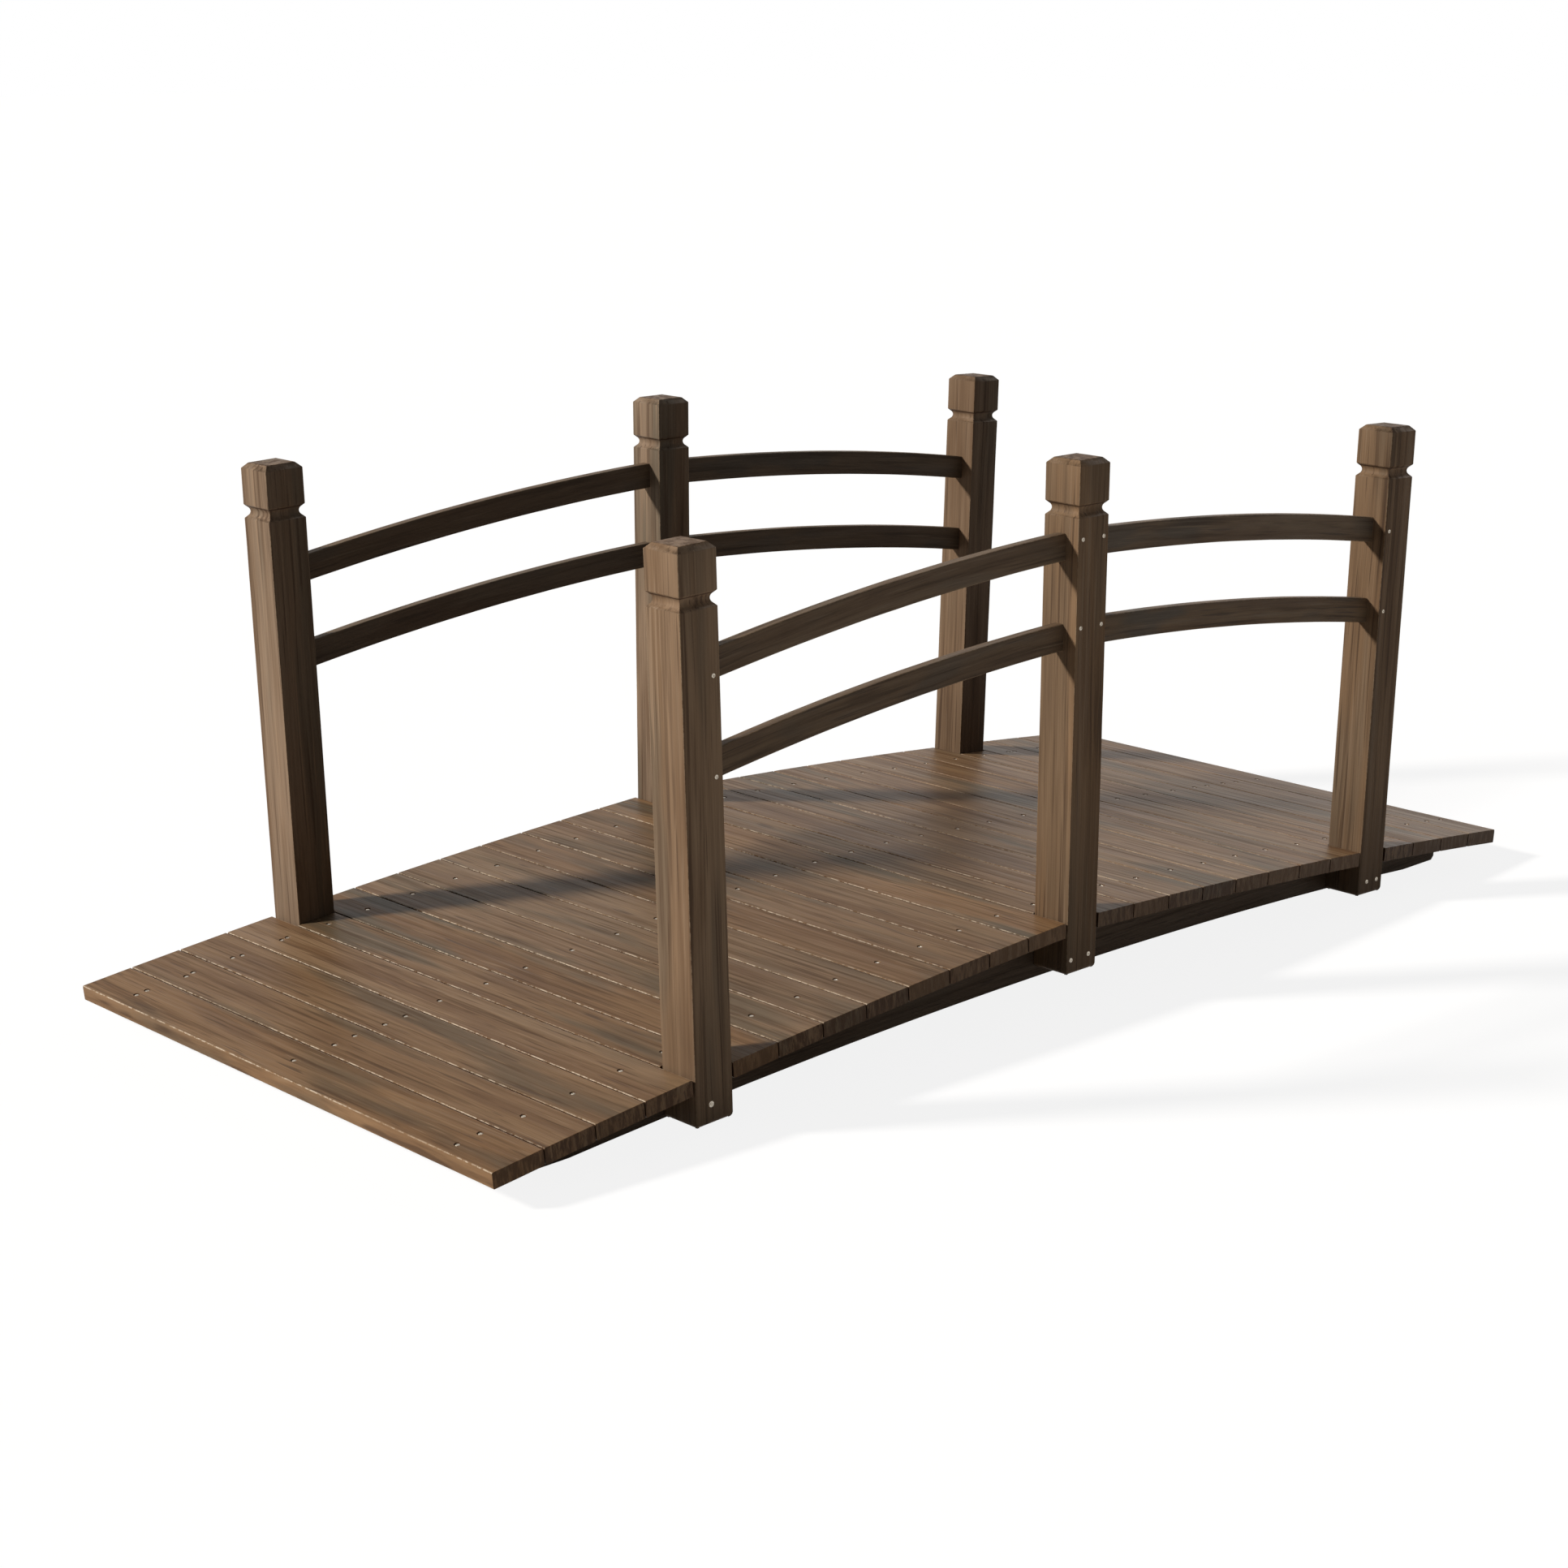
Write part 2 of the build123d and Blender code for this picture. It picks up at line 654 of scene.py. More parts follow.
    def surface(self, inputs: dict[str, object]) -> Finish:
        """Give the material a surface shader with these inputs and hand it over."""
        return self.close(self.add("ShaderNodeBsdfPrincipled", {}, inputs).outputs[0])


@dataclass(frozen=True)
class TimberPoint:
    """What a wood finish knows of the point that it colours, as sockets of its node tree.

    Attributes:
        timber: Distances from the piece's middle across, along and through the grain.
        half: Half of the piece's size in the same three directions.
        below: Depths below the piece's sides in the same three directions.
        place: Where the noise patterns are read.
        streak: Streaks of the grain.
        fibre: Fine streaks of the grain.
        light: How light the piece is.
        grey: How grey it is.
        ruddy: How red it is.
        end: 1 on end grain and 0 elsewhere.
    """

    timber: Socket
    half: Socket
    below: Socket
    place: Socket
    streak: Socket
    fibre: Socket
    light: Socket
    grey: Socket
    ruddy: Socket
    end: Socket


@dataclass(frozen=True)
class StainedWood:
    """Softwood under a brown stain, with streaky grain, cloudy patches and pale arrises.

    The patterns give numbers of marks in a metre across, along and through the grain. The ramps
    turn the patterns into shares of a colour.

    Attributes:
        slot: The record's material slot.
        stain: Main colour.
        pale: Colour where the stain is thin, along hard streaks.
        deep: Colour of the dark streaks and of the end grain.
        weathered: Colour of the grey patches.
        rich: Colour of the patches where the stain is thick.
        painted_shade: Colour of the painted shade in a crease or between two pieces.
        bare_and_glint: Pale colour of the arrises, partly scuffed wood and partly painted
            highlight.
        sallow: Tint of the least red pieces.
        ruddy: Tint of the reddest pieces.
        streaks: Pattern of the streaks.
        patches: Pattern of the cloudy patches.
        flecks: Pattern of the short flecks.
        wear: Pattern of the spots on the arrises.
        wear_stretches: Pattern of the longer stretches with more or less of the pale arris colour.
        bends: Pattern of the bends in the grain.
        sway: How far the grain bends.
        band_scale: Marks of the broad bands, as shares of those of the streaks.
        fibre_scale: Marks of the fine streaks, as a multiple of those of the streaks.
        thin_bands: Share of the pale colour in the broad bands.
        rich_patches: Share of the rich colour in the patches.
        grey_patches: Share of the weathered colour in the patches of the greyest piece.
        dark_streaks: Share of the deep colour in the streaks.
        pale_streaks: Share of the pale colour in the streaks.
        dark_fibres: Share of the deep colour in the fine streaks.
        dark_flecks: Share of the deep colour in the flecks.
        pale_flecks: Share of the pale colour in the flecks.
        open_ends: Share of the deep colour on end grain, by the streaks.
        faded_ends: How faded a piece's ends are, by its own draw.
        end_draw: Factor that makes the draw for the ends out of the piece's redness.
        end_fade: Share of the main colour on the most faded ends.
        crease: How far below the upper end a crease runs round the piece, or 0 for none.
        crease_width: Half width of the painted shade in the crease.
        crease_shade: Share of the painted shade in the crease.
        groove_side: How near the sheltered side a point lies in a groove between two pieces.
        groove_depth: How far below the broad face a point lies in such a groove.
        groove_shade: Share of the painted shade in such a groove.
        rub_and_glint: Share of the pale arris colour on the arrises.
        rub_width: Width of the pale band on the arris.
        rub_edges: Where the pale band ends and where it is full, as shares of its width.
        worn_spots: Share of the pale arris colour in the spots.
        worn_stretches: Share of the pale arris colour in the longer stretches.
        darker_foot: How much darker the lower end is.
        darker_foot_reach: Heights above the lower end at which the darkening is full and has gone.
        inner_face_shade: Share of painted shade taken off the face towards the walkway.
        roughness: Roughness of the sealed surface.
        rough_streaks: Where in the streaks the timber is roughest and where it is smoothest.
        roughness_change: What is added to the roughness at those two.
        gloss: Specular level of the sealed surface.
        relief: Depth of the grain.
        relief_strength: How strongly the depth shows.
        fibre_relief: Depth of the fine streaks, as a share of that of the streaks.
    """

    slot: str
    stain: Colour
    pale: Colour
    deep: Colour
    weathered: Colour
    streaks: Triple
    patches: Triple
    rich: Colour = (0.170, 0.090, 0.044)
    painted_shade: Colour = (0.045, 0.020, 0.012)
    bare_and_glint: Colour = (0.42, 0.31, 0.20)
    sallow: Colour = (0.98, 1.02, 1.08)
    ruddy: Colour = (1.05, 0.97, 0.86)
    flecks: Triple = (420, 26, 420)
    wear: Triple = (260, 170, 260)
    wear_stretches: Triple = (0.5, 6.0, 0.5)
    bends: Triple = (14, 2.2, 14)
    sway: float = 0.012
    band_scale: Triple = (0.28, 0.35, 0.28)
    fibre_scale: float = 3.6
    thin_bands: Ramp = Ramp(0.38, 0.62, 0.0, 0.8)
    rich_patches: Ramp = Ramp(0.46, 0.32, 0.0, 0.55)
    grey_patches: Ramp = Ramp(0.49, 0.66)
    dark_streaks: Ramp = Ramp(0.50, 0.28, 0.0, 0.85)
    pale_streaks: Ramp = Ramp(0.55, 0.72, 0.0, 0.60)
    dark_fibres: Ramp = Ramp(0.35, 0.65, 0.24, 0.0)
    dark_flecks: Ramp = Ramp(0.37, 0.28, 0.0, 0.7)
    pale_flecks: Ramp = Ramp(0.64, 0.74, 0.0, 0.7)
    open_ends: Ramp = Ramp(0.58, 0.44, 0.25, 0.95)
    faded_ends: Ramp = Ramp(0.2, 0.9)
    end_draw: float = 7.0
    end_fade: float = 0.5
    crease: float = 0.0
    crease_width: float = 0.0011
    crease_shade: float = 0.9
    groove_side: Ramp = Ramp(0.0011, 0.0006)
    groove_depth: Ramp = Ramp(0.0005, 0.0010)
    groove_shade: float = 0.85
    rub_and_glint: float = 0.8
    rub_width: float = 0.0011
    rub_edges: tuple[float, float] = (1.2, 0.65)
    worn_spots: Ramp = Ramp(0.38, 0.60)
    worn_stretches: Ramp = Ramp(0.36, 0.56, 0.45, 1.0)
    darker_foot: float = 0.0
    darker_foot_reach: tuple[float, float] = (0.065, 0.17)
    inner_face_shade: float = 0.0
    roughness: float = 0.42
    rough_streaks: tuple[float, float] = (0.3, 0.7)
    roughness_change: tuple[float, float] = (0.10, -0.06)
    gloss: float = 0.11
    relief: float = 0.0005
    relief_strength: float = 0.6
    fibre_relief: float = 0.5

    def read(self, bench: ShaderBench) -> TimberPoint:
        """Read the piece's own attributes and make the streaks.

        Args:
            bench: The shader that is built.

        Returns:
            The values at a point of the timber.
        """
        tone = bench.attribute("tone")
        light, grey, ruddy = (bench.part(tone, axis) for axis in "XYZ")
        timber, half = bench.attribute("timber"), bench.attribute("half_size")
        place = bench.vector("ADD", timber, bench.attribute("cut"))
        sway = bench.vector("SCALE", (self.sway, 0, self.sway))
        bench.tree.links.new(bench.noise(place, self.bends, detail=1.0), sway.node.inputs["Scale"])
        place = bench.vector("ADD", place, sway)
        fine = tuple(marks * self.fibre_scale for marks in self.streaks)
        return TimberPoint(
            timber=timber,
            half=half,
            below=bench.vector("SUBTRACT", half, bench.vector("ABSOLUTE", timber)),
            place=place,
            streak=bench.noise(place, self.streaks, detail=4.0, rough=0.62),
            fibre=bench.noise(place, fine, detail=2.0, rough=0.6),
            light=light,
            grey=grey,
            ruddy=ruddy,
            end=bench.attribute("end_grain", "Fac"),
        )

    def stained(self, bench: ShaderBench, point: TimberPoint) -> Socket:
        """Colour the timber in bands, patches, streaks and flecks.

        Args:
            bench: The shader that is built.
            point: The values at the point of the timber.

        Returns:
            The colour of the broad faces.
        """
        broad = tuple(marks * share for marks, share in zip(self.streaks, self.band_scale))
        band = bench.noise(point.place, broad, detail=3.0, rough=0.5)
        patch = bench.noise(point.place, self.patches, detail=2.0, rough=0.5)
        fleck = bench.noise(point.place, self.flecks, detail=1.0, rough=0.5)
        colour = bench.blend(bench.span(band, self.thin_bands), self.stain, self.pale)
        tint = bench.blend(point.ruddy, self.sallow, self.ruddy)
        return bench.cover(
            bench.blend(1.0, colour, tint, "MULTIPLY"),
            (bench.span(patch, self.rich_patches), self.rich),
            (bench.product(bench.span(patch, self.grey_patches), point.grey), self.weathered),
            (bench.span(point.streak, self.dark_streaks), self.deep),
            (bench.span(point.streak, self.pale_streaks), self.pale),
            (bench.span(point.fibre, self.dark_fibres), self.deep),
            (bench.span(fleck, self.dark_flecks), self.deep),
            (bench.span(fleck, self.pale_flecks), self.pale),
        )

    def in_crease(self, bench: ShaderBench, point: TimberPoint) -> Socket:
        """Work out the share of painted shade in the crease under the upper end.

        Args:
            bench: The shader that is built.
            point: The values at the point of the timber.

        Returns:
            The share.
        """
        off = bench.math("SUBTRACT", bench.part(point.below, "Y"), self.crease)
        upper = bench.math("GREATER_THAN", bench.part(point.timber, "Y"), 0.0)
        ramp = Ramp(self.crease_width, 0.0, 0.0, self.crease_shade)
        return bench.product(upper, bench.span(bench.math("ABSOLUTE", off), ramp))

    def at_ends(self, bench: ShaderBench, point: TimberPoint, colour: Socket) -> Socket:
        """Darken the end grain, and fade it on some pieces.

        Args:
            bench: The shader that is built.
            point: The values at the point of the timber.
            colour: The colour so far.

        Returns:
            The colour with the end grain laid over it.
        """
        draw = bench.math("FRACT", bench.product(point.ruddy, self.end_draw))
        opened = bench.product(point.end, bench.span(point.streak, self.open_ends))
        faded = bench.product(point.end, bench.span(draw, self.faded_ends), self.end_fade)
        return bench.cover(colour, (opened, self.deep), (faded, self.stain))

    def at_arrises(self, bench: ShaderBench, point: TimberPoint, colour: Socket) -> Socket:
        """Lay the pale arris colour, and the painted shade in the grooves between two pieces.

        Args:
            bench: The shader that is built.
            point: The values at the point of the timber.
            colour: The colour so far.

        Returns:
            The colour with the arrises and the grooves laid over it.
        """
        across, through = (bench.part(point.below, axis) for axis in "XZ")
        sides = bench.rest(point.end)
        # Painted shade in the groove between two pieces, on their sheltered sides
        groove = bench.product(
            bench.span(across, self.groove_side),
            bench.span(bench.math("SUBTRACT", through, across), self.groove_depth),
            bench.attribute("sheltered", "Fac"),
            sides,
        )
        edge = Ramp(*(self.rub_width * share for share in self.rub_edges))
        # Pale arris colour: partly scuffed wood, partly painted highlight in place of the lamp's
        # glint
        worn_and_glint = bench.product(
            bench.span(bench.math("MAXIMUM", across, through), edge),
            sides,
            bench.span(bench.noise(point.place, self.wear, detail=3.0, rough=0.7), self.worn_spots),
            bench.attribute("rubbed", "Fac"),
            bench.span(
                bench.noise(point.place, self.wear_stretches, detail=1.0), self.worn_stretches
            ),
            bench.rest(groove),
            self.rub_and_glint,
        )
        painted_shade = bench.product(groove, self.groove_shade)
        return bench.cover(colour, (worn_and_glint, self.bare_and_glint), (painted_shade, self.painted_shade))

    def lightness(self, bench: ShaderBench, point: TimberPoint) -> Socket:
        """Work out how light the point is: its piece, its height and painted shade on inner faces.

        Args:
            bench: The shader that is built.
            point: The values at the point of the timber.

        Returns:
            The lightness.
        """
        light = point.light
        # Darker towards the lower end
        if self.darker_foot:
            height = bench.math("ADD", bench.part(point.timber, "Y"), bench.part(point.half, "Y"))
            by_height = bench.span(height, Ramp(*self.darker_foot_reach, 1.0 - self.darker_foot, 1.0))
            light = bench.product(light, by_height)
        # Painted shade on the faces towards the walkway
        if self.inner_face_shade:
            inner_shade = bench.product(bench.attribute("inner_face", "Fac"), self.inner_face_shade)
            light = bench.product(light, bench.rest(inner_shade))
        return light

    def material(self) -> Finish:
        """Build the finish from the piece's own grain, size and tone attributes.

        Returns:
            The finish.
        """
        bench = ShaderBench.named(f"stained_{self.slot}")
        point = self.read(bench)
        colour = self.stained(bench, point)
        if self.crease:
            # Painted shade in the crease under the head of a post
            colour = bench.blend(self.in_crease(bench, point), colour, self.painted_shade)
        colour = self.at_arrises(bench, point, self.at_ends(bench, point, colour))
        light = self.lightness(bench, point)
        strength = bench.add("ShaderNodeCombineXYZ", {}, {0: light, 1: light, 2: light}).outputs[0]
        depth = bench.math("ADD", point.streak, bench.product(point.fibre, self.fibre_relief))
        bump = {"Height": depth, "Strength": self.relief_strength, "Distance": self.relief}
        ramp = Ramp(*self.rough_streaks, *(self.roughness + c for c in self.roughness_change))
        return bench.surface(
            {
                "Base Color": bench.blend(1.0, colour, strength, "MULTIPLY"),
                "Roughness": bench.span(point.streak, ramp),
                "Specular IOR Level": self.gloss,
                "Normal": bench.add("ShaderNodeBump", {}, bump).outputs[0],
            }
        )


@dataclass(frozen=True)
class PlatedSteel:
    """Zinc-plated screw steel, dulled in spots.

    Attributes:
        slot: The record's material slot.
        bright: Colour of the clean plating.
        dull: Colour of the spots.
        spots: Spots in a metre each way.
        spotted: Share of the dull colour in the spots.
        roughness: Roughness of the clean plating.
        dulling: How much rougher the spots are.
    """

    slot: str = "screws"
    bright: Colour = (0.47, 0.42, 0.35)
    dull: Colour = (0.24, 0.20, 0.155)
    spots: Triple = (900, 900, 900)
    spotted: Ramp = Ramp(0.45, 0.68)
    roughness: float = 0.36
    dulling: float = 0.25

    def material(self) -> Finish:
        """Build the finish on Object coordinates.

        Returns:
            The finish.
        """
        bench = ShaderBench.named("plated_screws")
        place = bench.add("ShaderNodeTexCoord", {}, {}).outputs["Object"]
        share = bench.span(bench.noise(place, self.spots, detail=3.0), self.spotted)
        rough = bench.span(share, Ramp(0.0, 1.0, self.roughness, self.roughness + self.dulling))
        colour = bench.blend(share, self.bright, self.dull)
        return bench.surface({"Base Color": colour, "Roughness": rough, "Metallic": 1.0})


DECK_WOOD = StainedWood(
    slot="boards",
    stain=(0.226, 0.131, 0.066),
    pale=(0.334, 0.214, 0.120),
    deep=(0.084, 0.044, 0.022),
    weathered=(0.140, 0.106, 0.066),
    streaks=(225, 4.2, 50),
    patches=(26, 3.6, 26),
    flecks=(330, 13, 80),
    # Pale arrises: partly wear, partly painted highlight standing in for the lamp's glint
    bare_and_glint=(0.72, 0.60, 0.46),
    rub_and_glint=0.9,
    gloss=0.085,
)
POST_WOOD = StainedWood(
    slot="posts",
    rich=(0.152, 0.088, 0.048),
    stain=(0.222, 0.145, 0.088),
    pale=(0.310, 0.215, 0.140),
    deep=(0.088, 0.053, 0.033),
    weathered=(0.165, 0.130, 0.092),
    # Painted shade in the crease under the head
    crease=0.0448,
    # Darker towards the lower end
    darker_foot=0.20,
    # Painted shade on the faces towards the walkway
    inner_face_shade=0.34,
    streaks=(135, 2.6, 135),
    flecks=(260, 5, 260),
    patches=(30, 3.0, 30),
    rub_and_glint=0.45,
    gloss=0.07,
    roughness=0.55,
)
RAIL_WOOD = StainedWood(
    slot="rails",
    rich=(0.125, 0.080, 0.050),
    stain=(0.145, 0.098, 0.062),
    pale=(0.196, 0.142, 0.094),
    deep=(0.062, 0.041, 0.027),
    weathered=(0.110, 0.088, 0.066),
    streaks=(160, 5, 160),
    flecks=(300, 9, 300),
    # Painted shade on the faces towards the walkway
    inner_face_shade=0.40,
    patches=(34, 9.0, 34),
    rub_and_glint=0.35,
    gloss=0.11,
    roughness=0.55,
)
STRINGER_WOOD = StainedWood(
    slot="stringers",
    rich=(0.110, 0.070, 0.044),
    stain=(0.135, 0.092, 0.060),
    pale=(0.190, 0.138, 0.094),
    deep=(0.065, 0.044, 0.030),
    weathered=(0.100, 0.078, 0.056),
    streaks=(230, 5, 230),
    patches=(24, 4.0, 24),
    rub_and_glint=0.3,
    gloss=0.05,
    roughness=0.55,
)
SCREW_STEEL = PlatedSteel()

# How light, how grey and how red each post is
POST_TONES = {
    (Side.NEAR, Station.LEFT): (1.10, 0.6, 0.5),
    (Side.NEAR, Station.MIDDLE): (0.88, 0.35, 1.0),
    (Side.NEAR, Station.RIGHT): (0.77, 0.5, 0.9),
    (Side.FAR, Station.LEFT): (1.20, 0.8, 0.0),
    (Side.FAR, Station.MIDDLE): (1.12, 1.0, 0.0),
    (Side.FAR, Station.RIGHT): (0.96, 0.6, 0.3),
}


class Tones:
    """Draws how light, how grey and how red each piece of timber is, the same on every run."""

    def __init__(self, seed: int, light: float, grey: float) -> None:
        """Start a draw.

        Args:
            seed: Start of the random numbers.
            light: Spread of lightness about 1.
            grey: Least share of the weathered colour, whose most is 1.
        """
        self.draw = random.Random(seed)
        self.light, self.grey = light, grey

    def next(self) -> Triple:
        """Return the lightness, the greyness and the redness of the next piece."""
        light = 1 + self.draw.uniform(-self.light, self.light)
        return light, self.draw.uniform(self.grey, 1.0), self.draw.uniform(0.0, 1.0)


def dress(
    piece: Piece,
    grain: Grain,
    wood: Finish,
    tone: Triple,
    key: int,
    bores: Sequence[Vector] = (),
    sheltered: Callable[[Vector], bool] = lambda place: False,
    rubbed: float = 1.0,
    walkway: int = 0,
) -> None:
    """Shade a timber piece, and give it its grain, size and tone attributes and its finish.

    Args:
        piece: The finished mesh.
        grain: How the grain runs through it.
        wood: The finish.
        tone: The piece's lightness, greyness and redness.
        key: Number that sets where in the tree the piece was cut.
        bores: Middles of its countersinks, whose walls are cut grain.
        sheltered: Tells from a place in the timber whether its side lies in a narrow gap.
        rubbed: Share of the pale arris colour, partly wear and partly painted highlight.
        walkway: Sign of the direction across to the walkway, or 0 for a piece that has none.
    """
    shade(piece)
    mesh = piece.data
    cut = random.Random(key)
    shift = [cut.uniform(-CUT_REACH, CUT_REACH) for _ in range(3)]
    places = [grain.place(vertex.co) for vertex in mesh.vertices]
    count = len(places)
    vectors = {
        "timber": [part for place in places for part in place],
        "cut": shift * count,
        "half_size": [*grain.half] * count,
        "tone": [*tone] * count,
    }
    for name, values in vectors.items():
        mesh.attributes.new(name, "FLOAT_VECTOR", "POINT").data.foreach_set("vector", values)
    shares = {
        "sheltered": [float(sheltered(place)) for place in places],
        "rubbed": [rubbed] * count,
    }
    for name, values in shares.items():
        mesh.attributes.new(name, "FLOAT", "POINT").data.foreach_set("value", values)
    faces = {"end_grain": [], "inner_face": []}
    for face in mesh.polygons:
        across = abs(face.normal.dot(grain.direction(face.center))) > ACROSS_GRAIN
        near_bore = any((face.center - bore).length < BORE_REACH for bore in bores)
        end_grain = across or (near_bore and face.area < BORE_FACET)
        faces["end_grain"] += [float(end_grain)] * face.loop_total
        faces["inner_face"] += [float(face.normal.y * walkway > TO_WALKWAY)] * face.loop_total
    for name, values in faces.items():
        mesh.attributes.new(name, "FLOAT", "CORNER").data.foreach_set("value", values)
    mesh.materials.clear()
    mesh.materials.append(wood)


def stand_for(piece: Piece, slot: str, *nodes: str) -> None:
    """Args:
        piece: The finished piece.
        slot: The record's material slot.
        nodes: Names of the nodes, none for a piece that only adds to them.
    """
    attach(piece, BODY)
    if nodes:
        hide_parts(*nodes)
    log.info("%s is in place, in slot %s", piece.name, slot)


# Screws


@dataclass(frozen=True)
class ScrewHead:
    """A domed screw head with a small tapered driving recess.

    Attributes:
        diameter: Diameter of the head.
        height: How far the dome rises above the rim.
        body: Depth of the head below its rim.
        sides: Number of sides of the round head.
        dome: Rings of the dome from the rim inwards, as shares of the radius and of the height.
        recess: Width of the recess at its top, as a share of the innermost ring.
        recess_depth: Depth of the recess, as a share of the body.
        recess_taper: Width of the recess at its bottom, as a share of that at its top.
    """

    diameter: float
    height: float
    body: float = 0.0012
    sides: int = 14
    dome: tuple[tuple[float, float], ...] = ((0.86, 0.55), (0.60, 0.90), (0.40, 1.0))
    recess: float = 0.9
    recess_depth: float = 0.6
    recess_taper: float = 0.55

    def pattern(self, name: str) -> Piece:
        """Model one head with its rim at height 0, opening upwards.

        Args:
            name: Name of the pattern piece.

        Returns:
            The pattern piece.
        """
        bench = Workbench.disc(name, self.sides, self.diameter / 2, self.body)
        bench.pick_faces(lambda middle, normal: normal.z > ALIGNED)
        reached = 1.0
        for share, rise in self.dome:
            bench.extrude((0, 0, 0))
            bench.resize((share / reached, share / reached, 1), (0, 0, 0))
            bench.pick_faces(lambda middle, normal: normal.z > ALIGNED and middle.xy.length < HAIR)
            bench.raise_to(self.height * rise)
            reached = share
        for depth, width in ((0, self.recess), (self.body * self.recess_depth, self.recess_taper)):
            bench.extrude((0, 0, -depth))
            bench.resize((width, width, 1), (0, 0, 0))
        return bench.finish()


def drive(pattern: Piece, name: str, places: Sequence[Matrix], steel: Finish) -> None:
    """Set copies of a screw head and join them into one piece.

    Args:
        pattern: The head to copy.
        name: Name of the joined piece.
        places: Where each head goes.
        steel: The finish.
    """
    heads = [settle(duplicate(pattern, f"{name}_{n}"), place) for n, place in enumerate(places)]
    deselect_all()
    for head in heads:
        head.select_set(True)
    bpy.context.view_layer.objects.active = heads[0]
    if len(heads) > 1:
        bpy.ops.object.join()
    joined = bpy.context.object
    joined.name = joined.data.name = name
    shade(joined)
    joined.data.materials.clear()
    joined.data.materials.append(steel)
    stand_for(joined, SCREW_STEEL.slot)


# Deck


# Half the distance between the two screws of a row, on the boards that have two, by their number
# from the nearer end
PAIRED_SCREWS = {
    Row.NEAR: {1: 0.0125},
    Row.CENTRE: {2: 0.012, 3: 0.0125},
    Row.FAR: {1: 0.0045, 2: 0.0045, 3: 0.0045, 4: 0.0045},
}


@dataclass
class Deck:
    """The boards, laid along a level crown and down an arc to each end.

    Up to each board from the left, the table gives how light the boards are and how much of
    the pale arris colour they show, which is partly wear and partly painted highlight.
    """

    width: float = 0.660
    board_width: float = 0.056
    board_thickness: float = 0.016
    board_gap: float = 0.0012
    short_end_gap: float = 0.0005
    short_width: float = 0.0468
    between_posts: int = 8
    past_posts: int = 4
    arris: float = 0.0011
    end_arris: float = 0.00055
    cuts_along: int = 22
    cuts_across: int = 4
    crest: float = 0.092
    crown_slope: float = 2.5
    radius: float = 10.9
    post_size: float = 0.045
    screw_line: float = 0.2635
    screw_wander: float = 0.002
    screw_seed: int = 5
    first_key: int = 100
    # Lightness, and share of the pale arris colour (partly painted highlight), up to each board
    board_looks: tuple[tuple[int, tuple[float, float]], ...] = (
        (9, (0.97, 1.0)),
        (13, (0.85, 0.9)),
        (17, (0.82, 0.7)),
        (24, (0.90, 0.3)),
        (27, (0.78, 0.25)),
    )
    countersink: float = 0.0074
    countersink_depth: float = 0.0016
    cutter_sides: int = 16
    cutter_rise: float = 0.001
    cutter_flare: float = 0.0006
    head: ScrewHead = ScrewHead(diameter=0.0046, height=0.0007)
    head_clearance: float = 0.0001
    head_sunk: float = 0.75

    @property
    def pitch(self) -> float:
        """Distance from one full board to the next."""
        return self.board_width + self.board_gap

    @property
    def crown_half(self) -> float:
        """Half the length of the level crown."""
        return (self.short_width + self.board_gap) / 2

    @property
    def post_run(self) -> float:
        """Distance along the seat line from the middle to the board between the end posts."""
        return self.crown_half * 2 + self.between_posts * self.pitch

    def seat(self, run: float) -> tuple[float, float, float]:
        """Find a place on the line that the boards lie on.

        Args:
            run: Distance along the line from the middle.

        Returns:
            The place's x and z, and the downward slope there in radians.
        """
        crown, base = self.crown_half, self.crest - self.board_thickness
        if run <= crown:
            return run, base, 0.0
        reach = self.radius - self.board_thickness
        first = math.radians(self.crown_slope)
        slope = first + (run - crown) / reach
        x = crown + reach * (math.sin(slope) - math.sin(first))
        return x, base + reach * (math.cos(slope) - math.cos(first)), slope

    def runs(self) -> list[tuple[float, float, int]]:
        """List the boards from the left end: distance along the seat, width and side.

        Returns:
            Each board's distance, width and side, which is -1 on the left and 1 on the right.
        """
        width, pitch = self.board_width, self.pitch
        half = [(self.crown_half + pitch * (n + 0.5), width) for n in range(self.between_posts)]
        half.append((self.post_run, self.short_width))
        start = self.post_run + self.crown_half
        half += [(start + pitch * (n + 0.5), width) for n in range(self.past_posts)]
        left = [(run, width, -1) for run, width in reversed(half)]
        return [*left, (0.0, self.short_width, 1), *((run, width, 1) for run, width in half)]

    def pose(self, run: float, side: int) -> Matrix:
        """Work out where a board lies, by its distance along the seat and its side."""
        x, z, slope = self.seat(run)
        return Matrix.Translation((x * side, 0, z)) @ Matrix.Rotation(slope * side, 4, "Y")

    def blank(self, width: float, length: float) -> Piece:
        """Model one board on the origin, with its arrises softened.

        Args:
            width: Width of the board.
            length: Length of the board.

        Returns:
            The pattern board.
        """
        thick = self.board_thickness
        bench = Workbench.block("board_blank", (width, length, thick), (0, 0, thick / 2))
        bench.slice(steps(-length / 2, length / 2, self.cuts_along), Y)
        bench.slice(steps(-width / 2, width / 2, self.cuts_across), X)
        bench.pick_edges(
            lambda middle, run: runs_along(run, Y)
            and lies_at(middle.x, width / 2)
            and lies_at(middle.z - thick / 2, thick / 2)
        )
        bench.soften(self.arris, segments=3)
        bench.pick_edges(
            lambda middle, run: lies_at(middle.y, length / 2) and middle.z > thick - self.arris
        )
        bench.soften(self.end_arris, segments=2)
        return bench.finish()

    def look_of(self, number: int) -> tuple[float, float]:
        """Tell how light a board is and how much of the pale arris colour it shows.

        Args:
            number: Number of the board, from the left end.

        Returns:
            How light it is, and its share of the pale arris colour.
        """
        return next(values for last, values in self.board_looks if number <= last)

